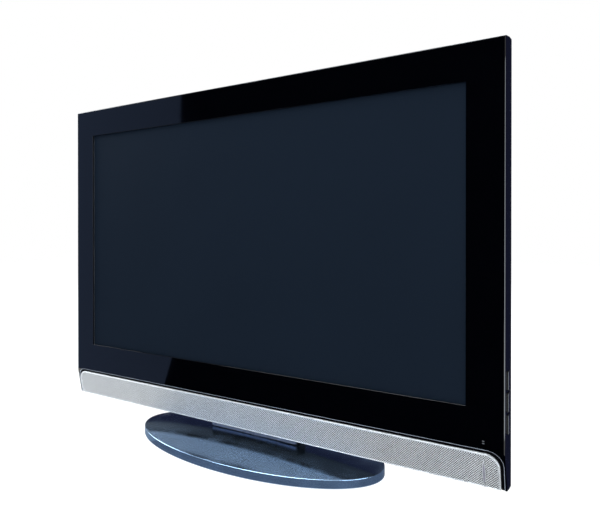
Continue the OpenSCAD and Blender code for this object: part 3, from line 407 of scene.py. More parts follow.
neck_paint_and_light = new_finish("neck_paint_and_light", {"Specular IOR Level": 0.1, "Metallic": 0.25})
neck_place = on_piece(neck_paint_and_light)
neck_axes = add_node(neck_paint_and_light, "SeparateXYZ", {"Vector": neck_place}).outputs
# Painted light: blue where front light reaches the foot of the middle, black as painted shade above
# it and at the ends.
from_middle = reckon(neck_paint_and_light, "ABSOLUTE", neck_axes["X"])
unshaded_middle = fade(neck_paint_and_light, from_middle, lit_half + lit_fade, lit_half)
lit_foot = fade(neck_paint_and_light, neck_axes["Z"], lit_top + lit_fade, lit_top)
lit_part = reckon(neck_paint_and_light, "MULTIPLY", unshaded_middle, lit_foot)
neck_haze = speckle(neck_paint_and_light, neck_place, 40, 4)
vary(
    neck_paint_and_light,
    colour=shades(neck_paint_and_light, lit_part, neck_black_and_shade, neck_lit_blue, 0, 1),
    roughness=spread(neck_paint_and_light, neck_haze, 0.2, 0.35),
    normal=relief(neck_paint_and_light, neck_haze, 0.00002),
)
for shell, node, keep_front in (
        ("neck_front_shell", "neck_front_cover", True),
        ("neck_rear_shell", "neck_rear_cover", False)):
    neck = add_block(shell, neck_low, neck_high)
    round_over(neck, lambda edge: runs_along(edge, "z"), neck_radius, 8)
    with editing(neck):
        choose(neck, "FACE", lambda face: abs(face.normal.z) > parallel)
        bpy.ops.mesh.delete(type="FACE")
    thicken(neck, neck_wall)
    with editing(neck):
        bpy.ops.mesh.select_all(action="SELECT")
        bpy.ops.mesh.bisect(
            plane_co=(0, swivel_y, 0), plane_no=(0, 1, 0), use_fill=True,
            clear_outer=keep_front, clear_inner=not keep_front)
    round_over(neck, lambda edge: edge.calc_face_angle(0) > neck_fold, neck_edge, 2)
    polish(neck)
    hand_in(neck, neck_paint_and_light, "cabinet", "gloss_black", node)

# Panel module
# Front to back: a foam strip, a steel frame, the display glass, a moulded frame, optical sheets,
# a diffuser, sixteen lamps in two white holders and the reflector tray.
foam_strip = grained("foam_strip", (0.025, 0.025, 0.026), 0.95, 4000, 0.0001)
frame_steel = sheet_metal("frame_steel", (0.5, 0.51, 0.52), 0.38, (1, 30, 30))
mould_black = grained("mould_black", (0.02, 0.02, 0.021), 0.6, 1600, 0.00004)
holder_white = grained("holder_white", (0.78, 0.78, 0.76), 0.5, 1400, 0.00002)
tray_white = grained("tray_white", (0.86, 0.86, 0.85), 0.35, 700, 0.00001)
lamp_phosphor = grained(
    "lamp_phosphor", (0.85, 0.85, 0.8), 0.12, 900, 0.000005, {"Coat Weight": 0.8})
dress(foam_strip, "screen_gasket")
dress(frame_steel, "panel_frame")
dress(mould_black, "panel_mould")
dress(holder_white, "lamp_holders")
dress(tray_white, "backlight_tray")
dress(lamp_phosphor, "backlight_lamps")


def ridged_sheet(name, colour, ridges_per_metre, depth):
    """Clear sheet with fine straight ridges."""
    finish = new_finish(name, {"Transmission Weight": 0.5, "IOR": 1.49})
    place = on_piece(finish)
    ridge = {"Vector": place, "Scale": ridges_per_metre}
    wave = add_node(finish, "TexWave", ridge)
    wave.bands_direction = "Z"
    haze = speckle(finish, place, 500)
    vary(
        finish,
        colour=shades(finish, haze, tinted(colour, 0.94), colour),
        roughness=spread(finish, haze, 0.3, 0.5),
        normal=relief(finish, wave.outputs["Fac"], depth),
    )
    return finish


dress(ridged_sheet("prism_film", (0.88, 0.9, 0.92), 2000, 0.00002), "prism_sheets")
dress(ridged_sheet("opal_diffuser", (0.92, 0.93, 0.93), 300, 0.000005), "diffuser_plate")

# Display glass
# The dark picture: a glass cell under a matt film that scatters reflections, slate coloured
# while the set is off.
screen_slate = (0.0058, 0.0098, 0.017)
display_film = new_finish("display_film", {"Specular IOR Level": 0.01, "IOR": 1.45})
film_place = on_piece(display_film)
film_grain = speckle(display_film, film_place, 3500)
film_cloud = speckle(display_film, film_place, 6)
vary(
    display_film,
    colour=shades(display_film, film_cloud, tinted(screen_slate, 0.97), tinted(screen_slate, 1.03)),
    roughness=spread(display_film, film_grain, 0.5, 0.6),
    normal=relief(display_film, film_grain, 0.00001),
)
dress(display_film, "lcd_glass")

# Chassis and circuit boards
# A pressed chassis plate holds the boards on brass posts: main board with its heatsink, power
# board with its components, inverter board, panel control board.
dress(zinc_steel, "chassis_plate", "wall_mount_posts")
dress(sheet_metal("post_brass", (0.72, 0.52, 0.2), 0.28, (20, 1, 20)), "board_standoffs")
dress(sheet_metal("heatsink_alloy", (0.36, 0.37, 0.38), 0.45, (30, 30, 1)), "main_heatsink")


def circuit(name, mask, track):
    """Solder mask with square tracks showing through it and a weave below."""
    finish = new_finish(name, {"Coat Weight": 0.5, "Coat Roughness": 0.15})
    place = on_piece(finish, (1, 1, 1), (radians(90), 0, 0))
    brick = {
        "Vector": place, "Scale": 60, "Mortar Size": 0.03, "Mortar Smooth": 0.0,
        "Color1": (*mask, 1), "Color2": (*tinted(mask, 0.8), 1), "Mortar": (*track, 1)}
    tracks = add_node(finish, "TexBrick", brick)
    weave = speckle(finish, place, 1500)
    vary(
        finish,
        colour=tracks.outputs["Color"],
        roughness=spread(finish, weave, 0.35, 0.5),
        normal=relief(finish, tracks.outputs["Fac"], 0.00003),
    )
    return finish


green_board = circuit("green_board", (0.01, 0.07, 0.03), (0.03, 0.14, 0.06))
tan_board = circuit("tan_board", (0.32, 0.2, 0.08), (0.42, 0.28, 0.12))
part_black = grained("part_black", (0.025, 0.025, 0.028), 0.42, 1200, 0.00003)
dress(green_board, "main_board", "panel_board", "sensor_board", "key_board")
dress(tan_board, "power_board", "inverter_board")
dress(part_black, "power_components")

# Speakers
# Two closed moulded boxes behind the strip, each with a long oval driver in a pressed steel
# basket and a black paper cone.
cone_paper = grained("cone_paper", (0.03, 0.03, 0.031), 0.8, 2500, 0.00006)
dress(mould_black, "speaker_box_left", "speaker_box_right")
dress(frame_steel, "speaker_driver_left", "speaker_driver_right")
dress(cone_paper, "speaker_cone_left", "speaker_cone_right")

# Key carrier
# A black moulding on the inside of the right skirt that holds the key board and the steel pins
# of the two rocker keys.
dress(mould_black, "key_carrier")
dress(zinc_steel, "rocker_pins")

# Front bezel
# The gloss black moulding round the picture, polished on its face. It is hollow behind, open
# below for the speaker strip, with windows for the keys and two slots for the status light.
bezel_low, bezel_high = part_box("front_bezel")
bezel_front, bezel_back = bezel_low.y, bezel_high.y
bezel_flare = 0.0025
bezel_wall = 0.0025
bezel_foot = 0.039
corner_radius = 0.003
view_half, view_bottom, view_top = 0.350, 0.136, 0.530
lip_z = 0.086
lip_radius = 0.018
leg_wall = 0.002
strip_setback = 0.0095
face_edge, view_edge, lip_edge = 0.0016, 0.0003, 0.0014
key_clearance = {"power_key": 0.0004, "programme_rocker": 0.0009, "volume_rocker": 0.0009}
key_height, key_side_gap = 0.023, 0.0004
pipe_x, pipe_width, pipe_height = 0.371, 0.0029, 0.0014
pipe_heights = (0.0941, 0.0967)
face_half = bezel_high.x - bezel_flare
face_top = bezel_high.z - bezel_flare
past, near, alike = 0.005, 0.0001, 0.01


def flared_block(name, low, high, flare):
    """A block whose front face is narrower and less high than its back."""

    def in_front(corner):
        return corner.co.y < low[1] + near

    piece = add_block(name, low, high)
    with editing(piece):
        for side in (-1, 1):
            choose(piece, "VERT", lambda corner: in_front(corner) and corner.co.x * side > 0)
            bpy.ops.transform.translate(value=(-side * flare, 0, 0))
        choose(piece, "VERT", lambda corner: in_front(corner) and corner.co.z > high[2] - near)
        bpy.ops.transform.translate(value=(0, 0, -flare))
    return piece


def merge_flats(piece):
    """Joins neighbouring faces that lie in one plane."""
    with editing(piece):
        bpy.ops.mesh.select_all(action="SELECT")
        bpy.ops.mesh.dissolve_limited(angle_limit=radians(0.5))


bezel = flared_block(
    "bezel_moulding", (-bezel_high.x, bezel_front, bezel_foot), bezel_high, bezel_flare)
rounded = add_block(
    "rounded", (-bezel_high.x, bezel_front - past, bezel_foot),
    (bezel_high.x, bezel_back + past, bezel_high.z))
round_over(rounded, lambda edge: runs_along(edge, "y"), corner_radius, 6)
cut_with(bezel, rounded, "INTERSECT")
hollow_front = bezel_front + bezel_wall
inner_half = bezel_high.x - bezel_wall
inner_top = bezel_high.z - bezel_wall
flare_inside = bezel_flare * (1 - bezel_wall / (bezel_back - bezel_front))
hollow = flared_block(
    "hollow", (-inner_half, hollow_front, lip_z + bezel_wall),
    (inner_half, bezel_back + near, inner_top), flare_inside)
round_over(
    hollow, lambda edge: all(corner.co.z > inner_top - 2 * bezel_flare for corner in edge.verts)
    and edge.verts[0].co.x * edge.verts[1].co.x > 0, corner_radius - bezel_wall, 3)
cut_with(bezel, hollow)
arch = add_block(
    "arch", (leg_wall - face_half, bezel_front - past, bezel_foot - past),
    (face_half - leg_wall, bezel_back + past, lip_z))
round_over(
    arch, lambda edge: runs_along(edge, "y") and edge.verts[0].co.z > lip_z - near,
    lip_radius, 14)
cut_with(bezel, arch)
with editing(bezel):
    bpy.ops.mesh.select_all(action="SELECT")
    leaning = Vector((0, bezel_foot - lip_z, -strip_setback)).normalized()
    bpy.ops.mesh.bisect(
        plane_co=(0, bezel_front, lip_z), plane_no=leaning, use_fill=True, clear_outer=True)
view_cut = add_block(
    "view_cut", (-view_half, bezel_front - past, view_bottom),
    (view_half, hollow_front + past, view_top))
cut_with(bezel, view_cut)
for height in pipe_heights:
    slot_cut = add_block(
        "slot_cut", (pipe_x - pipe_width / 2, bezel_front - past, height - pipe_height / 2),
        (pipe_x + pipe_width / 2, hollow_front + past, height + pipe_height / 2))
    cut_with(bezel, slot_cut)
for key, clearance in key_clearance.items():
    key_low, key_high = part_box(key)
    key_middle = (key_low.z + key_high.z) / 2
    reach = key_height / 2 + clearance
    window = add_block(
        "window", (inner_half - 2 * bezel_wall, key_low.y - key_side_gap, key_middle - reach),
        (bezel_high.x + past, key_high.y + key_side_gap, key_middle + reach))
    cut_with(bezel, window)
merge_flats(bezel)


def on_face_edge(edge):
    """The outer edge of the bezel's face, above the lip."""
    far = all(
        abs(corner.co.x) > face_half - corner_radius or corner.co.z > face_top - corner_radius
        for corner in edge.verts)
    above = all(corner.co.z > lip_z - near for corner in edge.verts)
    return far and above and lies_at(edge, y=bezel_front)


def on_view_edge(edge):
    """The edge of the picture opening on the bezel's face."""
    inside = all(
        abs(corner.co.x) < view_half + near and view_bottom - near < corner.co.z < view_top + near
        for corner in edge.verts)
    return inside and lies_at(edge, y=bezel_front)


def on_lip_edge(edge):
    """The front edge of the notch for the speaker strip."""
    half, centre_z = face_half - leg_wall, lip_z - lip_radius

    def off_arch(corner):
        past_x, past_z = abs(corner.co.x) - (half - lip_radius), corner.co.z - centre_z
        if past_x > 0 and past_z > 0:
            return hypot(past_x, past_z) - lip_radius
        return max(past_x, past_z) - lip_radius

    def off_front(corner):
        below = max(0, lip_z - corner.co.z) / (lip_z - bezel_foot)
        return corner.co.y - bezel_front - strip_setback * below

    return all(
        abs(off_arch(corner)) < near and abs(off_front(corner)) < near for corner in edge.verts)


def keep_flat(piece, normal):
    """Keeps the smooth shading of rounded edges off the faces that look one way."""
    with editing(piece):
        choose(piece, "FACE", lambda face: (face.normal - normal).length < alike)
        bpy.ops.mesh.region_to_loop()
        bpy.ops.mesh.mark_sharp()


round_over(bezel, on_face_edge, face_edge, 4)
round_over(bezel, on_view_edge, view_edge, 3)
piano_black = lacquer("piano_black", (0.0003, 0.0004, 0.0009), 0.04)
# A satin bevel along the lip, coloured light grey blue as a painted highlight of the light its edge
# catches.
lip_highlight_edge = grained("lip_highlight_edge", (0.34, 0.38, 0.45), 0.35, 2000, 0.00001)
bezel.data.materials.append(piano_black)
bezel.data.materials.append(lip_highlight_edge)
round_over(bezel, on_lip_edge, lip_edge, 3, material=1)
keep_flat(bezel, leaning)
polish(bezel)
hand_in(bezel, piano_black, "cabinet", "gloss_black", "front_bezel")

# Speaker strip
# A black carrier snaps into the bezel's notch and holds acoustic cloth behind the grille. It
# also guides the clear pipe of the status light.
carrier_black = grained(
    "carrier_black", (0.002, 0.002, 0.0025), 0.4, 1800, 0.00002, {"Specular IOR Level": 0.0})
dress(carrier_black, "grille_carrier")
acoustic_cloth = new_finish("acoustic_cloth", {"Sheen Weight": 0.2, "Specular IOR Level": 0.2})
cloth_place = on_piece(acoustic_cloth)
threads = [
    add_node(acoustic_cloth, "TexWave", {"Vector": cloth_place, "Scale": 700}) for _ in range(2)]
threads[0].bands_direction = "X"
threads[1].bands_direction = "Z"
cloth_weave = reckon(
    acoustic_cloth, "MULTIPLY", threads[0].outputs["Fac"], threads[1].outputs["Fac"])
vary(
    acoustic_cloth,
    colour=shades(acoustic_cloth, cloth_weave, (0.006, 0.006, 0.007), (0.018, 0.018, 0.02)),
    roughness=spread(acoustic_cloth, cloth_weave, 0.85, 0.95),
    normal=relief(acoustic_cloth, cloth_weave, 0.0001),
)
dress(acoustic_cloth, "grille_cloth")
pipe_clear = grained(
    "pipe_clear", (0.12, 0.13, 0.145), 0.35, 1500, 0.00001, {"Transmission Weight": 0.3})
dress(pipe_clear, "status_light_pipe")

# Speaker grille
# Silver lacquered sheet with a fine staggered perforation, leaning back towards its foot, with
# a bright rolled rim all round. It clips into the carrier.
grille_low, grille_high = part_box("speaker_grille")
hole_pitch = 0.003
hole_radius = 0.00103
hole_sides, cell_sides = 6, 4
sheet_depth = 0.0002
lattice_x, lattice_z = 0.00075, 0.0003
sheet_foot = 0.0004
cell_inset = hole_pitch * 0.48
rim_width, rim_foot = 0.0022, 0.001
rim_proud = 0.0005
rim_depth = 0.003
rim_round = 0.0004
grille_behind = -0.0015
grille_corner = 0.017
lean = atan2(strip_setback, lip_z - bezel_foot)
grille_half = grille_high.x
strip_top = -(lip_z - grille_high.z) / cos(lean)
strip_bottom = -(lip_z - grille_low.z) / cos(lean)
slit_x, slit_z = 0.371, 0.05745
slit_width, slit_height, slit_margin = 0.0028, 0.029, 0.0006
slit_middle = -(lip_z - slit_z) / cos(lean)


def lean_back(piece, behind):
    """Sets a piece that was drawn upright, from the lip down, on the leaning front of the strip."""
    piece.rotation_euler = (lean, 0, 0)
    piece.location = (0, bezel_front + behind, lip_z)
    pick(piece)
    bpy.ops.object.transform_apply(location=True, rotation=True, scale=True)


def repeat_along(piece, count, step):
    """Repeats a piece at even steps."""
    row = piece.modifiers.new("repeat", "ARRAY")
    row.count = count
    row.use_relative_offset = False
    row.use_constant_offset = True
    row.constant_offset_displace = step
    apply_modifiers(piece)


def inside_strip(x, z, inset):
    """True within the grille's outline, drawn in by an inset at its sides and its top."""
    half, top = grille_half - inset, strip_top - inset
    radius = grille_corner - inset
    if abs(x) > half or not strip_bottom < z < top:
        return False
    past_x, past_z = abs(x) - (half - radius), z - (top - radius)
    return past_x < 0 or past_z < 0 or hypot(past_x, past_z) < radius


def slit_arc(grow):
    """The radius of the grown slit's two sides and how far their centres lie from its middle."""
    width, height = slit_width + 2 * grow, slit_height + 8 * grow
    radius = (height ** 2 + width ** 2) / (4 * width)
    return radius, radius - width / 2


def inside_slit(x, z, grow):
    """True within the pointed slit of the sensor, grown on all sides."""
    radius, offset = slit_arc(grow)
    return hypot(abs(x - slit_x) + offset, z - slit_middle) < radius


bpy.ops.object.select_all(action="DESELECT")
bpy.ops.mesh.primitive_circle_add(
    vertices=hole_sides, radius=hole_radius, rotation=(radians(90), 0, 0))
perforation = settle("grille_sheet")
with editing(perforation):
    bpy.ops.mesh.select_mode(type="EDGE")
    bpy.ops.mesh.primitive_circle_add(
        vertices=cell_sides, radius=hole_pitch / 2, rotation=(radians(90), 0, 0))
    bpy.ops.mesh.select_all(action="SELECT")
    bpy.ops.mesh.bridge_edge_loops()
    choose(perforation, "EDGE", lambda edge: all(
        corner.co.length < hole_radius + near for corner in edge.verts) and edge.is_boundary)
    bpy.ops.mesh.extrude_edges_move(TRANSFORM_OT_translate={"value": (0, sheet_depth, 0)})
    face_outward()
    shape = bmesh.from_edit_mesh(perforation.data)
    if sum(face.normal.y for face in shape.faces) > 0:
        bpy.ops.mesh.select_all(action="SELECT")
        bpy.ops.mesh.flip_normals()
    bpy.ops.mesh.select_all(action="SELECT")
    bpy.ops.mesh.duplicate_move(
        TRANSFORM_OT_translate={"value": (hole_pitch / 2, 0, hole_pitch / 2)})
columns = int(2 * grille_half / hole_pitch) + 2
rows = int((strip_top - strip_bottom) / hole_pitch) + 2
repeat_along(perforation, columns, (hole_pitch, 0, 0))
repeat_along(perforation, rows, (0, 0, hole_pitch))
perforation.location = (
    lattice_x - (columns // 2) * hole_pitch, 0,
    lattice_z + (round(strip_bottom / hole_pitch) - 1) * hole_pitch)
bpy.ops.object.transform_apply(location=True, rotation=True, scale=True)


def cell_centre(face):
    """The hole that a face of the perforated sheet belongs to."""
    middle = face.calc_center_median()
    x, z = middle.x - lattice_x, middle.z - lattice_z
    across = round((x + z) / hole_pitch)
    down = round((x - z) / hole_pitch)
    step = hole_pitch / 2
    return lattice_x + (across + down) * step, lattice_z + (across - down) * step


def stray_cell(face):
    """True for the cells outside the rim or over the sensor slit."""
    x, z = cell_centre(face)
    return not inside_strip(x, z, cell_inset) or inside_slit(x, z, slit_margin)


with editing(perforation):
    choose(perforation, "FACE", stray_cell)
    bpy.ops.mesh.delete(type="FACE")
    bpy.ops.mesh.select_all(action="SELECT")
    bpy.ops.mesh.remove_doubles(threshold=touching)
    bpy.ops.mesh.bisect(
        plane_co=(0, 0, strip_bottom + sheet_foot), plane_no=(0, 0, -1), clear_outer=True)
lean_back(perforation, grille_behind)
silver_lacquer = new_finish("silver_lacquer", {"Metallic": 0.35})
lacquer_place = on_piece(silver_lacquer)
flake = speckle(silver_lacquer, lacquer_place, 6000)
cloud = speckle(silver_lacquer, lacquer_place, 30)
vary(
    silver_lacquer,
    colour=shades(silver_lacquer, cloud, (0.84, 0.87, 0.9), (0.9, 0.93, 0.96)),
    roughness=spread(silver_lacquer, flake, 0.32, 0.45),
    normal=relief(silver_lacquer, flake, 0.00002),
)
hand_in(perforation, silver_lacquer, "cabinet", "grille_metal", "speaker_grille")


def arched_block(name, inset, foot, depth):
    """A slab with the grille's outline, drawn in by an inset, with round upper corners."""
    half, top = grille_half - inset, strip_top - inset
    slab = add_block(name, (-half, depth[0], strip_bottom + foot), (half, depth[1], top))
    round_over(
        slab, lambda edge: runs_along(edge, "y") and edge.verts[0].co.z > top - near,
        grille_corner - inset, 12)
    return slab


rim = arched_block("grille_rim", 0, 0, (-rim_proud, rim_depth))
cut_with(rim, arched_block("rim_hole", rim_width, rim_foot, (-past, past + rim_depth)))
round_over(rim, lambda edge: lies_at(edge, y=-rim_proud), rim_round, 3)
polish(rim, angle=40)
lean_back(rim, grille_behind)
bright_rim = new_finish("bright_rim", {"Metallic": 0.5})
rim_lines = speckle(bright_rim, on_piece(bright_rim, (1, 30, 30)), 60, 3)
vary(
    bright_rim,
    colour=shades(bright_rim, rim_lines, (0.68, 0.71, 0.74), (0.73, 0.76, 0.79)),
    roughness=spread(bright_rim, rim_lines, 0.22, 0.3),
    normal=relief(bright_rim, rim_lines, 0.000005),
)
hand_in(rim, bright_rim, "cabinet", "grille_metal", "speaker_grille")

# Sensor window
# A pointed slit of smoked plastic in a thin bright surround, pushed through the grille from
# behind.
slit_sides = 512
lens_proud, lens_depth, lens_round = 0.0004, 0.004, 0.0003
surround_width, surround_gap = 0.0007, 0.00005
surround_proud, surround_depth = 0.0003, 0.002


def slit_block(name, grow, depth):
    """A pointed slab between two large arcs."""
    radius, offset = slit_arc(grow)
    middle_y, length = (depth[0] + depth[1]) / 2, depth[1] - depth[0]
    slab, other = [
        add_rod(
            name, (slit_x + side * offset, middle_y, slit_middle), radius, length, "Y", slit_sides)
        for side in (-1, 1)]
    cut_with(slab, other, "INTERSECT")
    return slab


lens = slit_block("sensor_window", 0, (-lens_proud, lens_depth))
round_over(lens, lambda edge: lies_at(edge, y=-lens_proud), lens_round, 2)
polish(lens)
lean_back(lens, grille_behind)
smoked_lens = lacquer("smoked_lens", (0.2, 0.2, 0.24), 0.12)
hand_in(lens, smoked_lens, "cabinet", "smoked_lens", "indicator_lens")
surround = slit_block("sensor_surround", surround_width, (-surround_proud, surround_depth))
cut_with(surround, slit_block("surround_hole", surround_gap, (-past, past)))
with editing(surround):
    bpy.ops.mesh.select_all(action="SELECT")
    bpy.ops.mesh.fill_holes(sides=4)
polish(surround)
lean_back(surround, grille_behind)
hand_in(surround, bright_rim, "cabinet", "grille_metal")

# Side keys
# Three moulded keys in the right skirt: a power key that presses in and two rockers that tip on
# their pins. Each has rounded corners and a bevelled face.
key_corner = 0.0016
key_bevel = 0.0009
key_satin = grained("key_satin", (0.004, 0.0043, 0.005), 0.13, 2600, 0.000004)
for key in key_clearance:
    key_low, key_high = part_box(key)
    key_middle = (key_low.z + key_high.z) / 2
    cap = add_block(
        key + "_cap", (key_low.x, key_low.y, key_middle - key_height / 2),
        (key_high.x, key_high.y, key_middle + key_height / 2))
    round_over(cap, lambda edge: runs_along(edge, "x"), key_corner, 5)
    round_over(cap, lambda edge: lies_at(edge, x=key_high.x), key_bevel, 4)
    polish(cap)
    hand_in(cap, key_satin, key, "key_black", key)

# Connectors
# A steel plate behind the rear cover carries the sockets of the main board, and the mains inlet
# is pressed into the cover.
socket_black = grained("socket_black", (0.015, 0.015, 0.016), 0.45, 1500, 0.00003)
socket_nickel = sheet_metal("socket_nickel", (0.62, 0.61, 0.58), 0.25, (20, 1, 20))
socket_blue = grained("socket_blue", (0.02, 0.05, 0.22), 0.4, 1500, 0.00003)
socket_yellow = grained("socket_yellow", (0.62, 0.45, 0.02), 0.4, 1500, 0.00003)
dress(frame_steel, "connector_plate")
dress(socket_black, "scart_sockets", "mains_inlet")
dress(socket_nickel, "hdmi_sockets", "aerial_socket")
dress(socket_blue, "vga_socket")
dress(socket_yellow, "av_sockets")

# Rear cover
# The textured black shell of the back, with two slopes, vent slots above and below, and openings
# for the connectors, the wall mount posts and the stand.
cover_low, cover_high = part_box("rear_cover")
cover_wall = 0.0025
plan_points = ((0.397, 0.022), (0.394, 0.030), (0.340, 0.060), (0.290, 0.095))
side_points = (
    (0.022, 0.041), (0.062, 0.041), (0.095, 0.110), (0.095, 0.460), (0.058, 0.520),
    (0.034, 0.570), (0.022, 0.579))
rim_depth_y, back_slope, cover_middle = 0.023, 0.050, 0.300
hollow_lead, shoulder_share = 0.001, 0.6
cover_round, cover_fold, cover_seam = 0.002, radians(12), 0.0225
vent_pitch, vent_width, vent_half, vent_round = 0.012, 0.005, 0.240, 0.00225
vent_rows = ((0.058, 0.472, 0.506), (0.062, 0.061, 0.095))
mount_half, mount_low, mount_pitch = 0.100, 0.233, 0.200
mount_hole, mount_depth, opening_depth = 0.0083, 0.020, 0.010
bay_low, bay_high = (-0.262, 0.138), (-0.122, 0.208)
inlet_low, inlet_high = (0.1763, 0.148), (0.2037, 0.168)
stand_half, stand_from, stand_to = 0.078, 0.001, 0.019
screw_seat = 0.027
top_screws_x, top_screws_z = (0.100, 0.300), 0.5695
side_screws_x, side_screws_z = 0.3875, (0.0945, 0.253, 0.453)
screw_places = [(side * x, top_screws_z) for side in (-1, 1) for x in top_screws_x]
screw_places += [(side * side_screws_x, z) for side in (-1, 1) for z in side_screws_z]
boss_radius, boss_end, well_radius = 0.005, 0.0325, 0.0035


def draw_outline(name, corners):
    """A flat face drawn corner by corner."""
    bpy.ops.object.select_all(action="DESELECT")
    bpy.ops.mesh.primitive_plane_add(size=1)
    outline = settle(name)
    with editing(outline):
        bpy.ops.mesh.select_mode(type="VERT")
        bpy.ops.mesh.select_all(action="SELECT")
        bpy.ops.mesh.merge(type="CENTER")
        bpy.ops.transform.translate(value=corners[0])
        for start, end in zip(corners, corners[1:]):
            step = Vector(end) - Vector(start)
            bpy.ops.mesh.extrude_vertices_move(TRANSFORM_OT_translate={"value": step})
        bpy.ops.mesh.select_all(action="SELECT")
        bpy.ops.mesh.edge_face_add()
    return outline


def drawn_prism(name, corners, push):
    """A flat outline pushed out to a closed prism."""
    prism = draw_outline(name, corners)
    with editing(prism):
        bpy.ops.mesh.select_all(action="SELECT")
        bpy.ops.mesh.extrude_region_move(TRANSFORM_OT_translate={"value": push})
        face_outward()
    return prism


def cover_shape(name, inset):
    """The cover's solid form, or its hollow where an inset is given."""
    half, front = plan_points[0]
    front -= hollow_lead if inset else 0
    lowest, highest = side_points[0][1] - past, side_points[-1][1] + past
    half_plan = [(x - inset, y - inset * (y > back_slope)) for x, y in plan_points]
    half_plan[0] = (half - inset, front)
    plan = half_plan + [(-x, y) for x, y in reversed(half_plan)]
    plan = [(x, y + bezel_front, lowest) for x, y in plan]
    shape = drawn_prism(name, plan, (0, 0, highest - lowest))
    side = []
    for y, z in side_points:
        share = shoulder_share if y < back_slope else 1
        depth = front if y < rim_depth_y else y - inset * share
        rise = inset if z < cover_middle else -inset
        side.append((-half - past, depth + bezel_front, z + rise))
    cut_with(shape, drawn_prism("profile", side, (2 * (half + past), 0, 0)), "INTERSECT")
    outline = add_block(
        "outline", (inset - half, bezel_front, side_points[0][1] + inset),
        (half - inset, bezel_front + 2 * cover_middle, side_points[-1][1] - inset))
    round_over(outline, lambda edge: runs_along(edge, "y"), corner_radius, 8)
    cut_with(shape, outline, "INTERSECT")
    return shape


rear_cover = cover_shape("rear_cover_shell", 0)
merge_flats(rear_cover)
round_over(
    rear_cover, lambda edge: edge.calc_face_angle(0) > cover_fold
    and all(corner.co.y > bezel_front + cover_seam for corner in edge.verts), cover_round, 3)
cut_with(rear_cover, cover_shape("cover_hollow", cover_wall))
for x, z in screw_places:
    middle = bezel_front + (plan_points[0][1] + boss_end) / 2
    boss = add_rod("boss", (x, middle, z), boss_radius, boss_end - plan_points[0][1])
    cut_with(rear_cover, boss, "UNION")
for x, z in screw_places:
    well = add_rod("well", (x, bezel_front + screw_seat + past, z), well_radius, 2 * past)
    cut_with(rear_cover, well)
for side in (-1, 1):
    for level in (mount_low, mount_low + mount_pitch):
        hole = add_rod(
            "hole", (side * mount_half, cover_high.y, level), mount_hole, mount_depth)
        cut_with(rear_cover, hole)
for low, high in ((bay_low, bay_high), (inlet_low, inlet_high)):
    opening = add_block(
        "opening", (low[0], cover_high.y - opening_depth, low[1]),
        (high[0], cover_high.y + past, high[1]))
    cut_with(rear_cover, opening)
stand_opening = add_block(
    "stand_opening", (-stand_half, stand_from, cover_low.z - past),
    (stand_half, stand_to, cover_low.z + cover_wall + past))
cut_with(rear_cover, stand_opening)
for first_y, low_z, high_z in vent_rows:
    vents = add_block(
        "vents", (-vent_half - vent_width / 2, bezel_front + first_y, low_z),
        (-vent_half + vent_width / 2, cover_high.y + past, high_z))
    round_over(vents, lambda edge: runs_along(edge, "y"), vent_round, 4)
    repeat_along(vents, round(2 * vent_half / vent_pitch) + 1, (vent_pitch, 0, 0))
    cut_with(rear_cover, vents)
polish(rear_cover)
cover_black = grained("cover_black", (0.016, 0.0165, 0.018), 0.55, 1400, 0.00008)
hand_in(rear_cover, cover_black, "cabinet", "matte_black", "rear_cover")

# Cover screws
# Ten blackened steel screws with rounded heads and cross recesses. They sit in round wells and
# hold the cover to the bezel.
head_radius, head_height, head_round, head_sides = 0.0032, 0.0022, 0.0007, 24
recess_length, recess_width, recess_depth = 0.0038, 0.0009, 0.0014
head_top = bezel_front + screw_seat + head_height
first_x, first_z = screw_places[0]
screw_set = add_rod(
    "cover_screw_set", (first_x, head_top - head_height / 2, first_z), head_radius, head_height,
    "Y", head_sides)
round_over(screw_set, lambda edge: lies_at(edge, y=head_top), head_round, 3)
for wide, high in ((recess_length, recess_width), (recess_width, recess_length)):
    recess = add_block(
        "recess", (first_x - wide / 2, head_top - recess_depth, first_z - high / 2),
        (first_x + wide / 2, head_top + past, first_z + high / 2))
    cut_with(screw_set, recess)
copies = []
for x, z in screw_places[1:]:
    pick(screw_set)
    bpy.ops.object.duplicate()
    bpy.context.object.location = (x - first_x, 0, z - first_z)
    copies.append(settle("cover_screw"))
pick(screw_set)
for copy in copies:
    copy.select_set(True)
bpy.ops.object.join()
polish(screw_set)
hand_in(screw_set, black_screw, "cabinet", "black_screw", "cover_screws")

# Studio
# A pale floor and a white room. The floor keeps the shadow of the set. Cards that only gloss can
# see give the polished front and base their dark, blue and bright parts.
floor_half = 6.0
floor_glow = 0.88
ambient = 0.42
bpy.ops.object.select_all(action="DESELECT")
bpy.ops.mesh.primitive_plane_add(size=2 * floor_half)
floor = settle("studio_floor")
floor_paint = bpy.data.materials.new("floor_paint")
floor_paint.use_nodes = True
paint_nodes, paint_links = floor_paint.node_tree.nodes, floor_paint.node_tree.links
paint_nodes.remove(paint_nodes["Principled BSDF"])


def seen_directly(finish):
    """1 where a camera, mirror or glass ray arrives, 0 for the light that rooms bounce about."""
    path = add_node(finish, "LightPath", {}).outputs
    in_view = reckon(finish, "MAXIMUM", path["Is Camera Ray"], path["Is Glossy Ray"])
    return reckon(finish, "MAXIMUM", in_view, path["Is Transmission Ray"])


matt = add_node(floor_paint, "BsdfDiffuse", {"Color": (0.8, 0.8, 0.8, 1)})
pale = add_node(floor_paint, "BsdfDiffuse", {"Color": (0.3, 0.3, 0.3, 1)})
glow = add_node(floor_paint, "Emission", {"Color": (1, 1, 1, 1), "Strength": floor_glow})
lit = add_node(floor_paint, "AddShader", {0: pale.outputs["BSDF"], 1: glow.outputs["Emission"]})
chosen = add_node(
    floor_paint, "MixShader",
    {0: seen_directly(floor_paint), 1: matt.outputs["BSDF"], 2: lit.outputs["Shader"]})
paint_links.new(chosen.outputs["Shader"], paint_nodes["Material Output"].inputs["Surface"])
floor.data.materials.append(floor_paint)

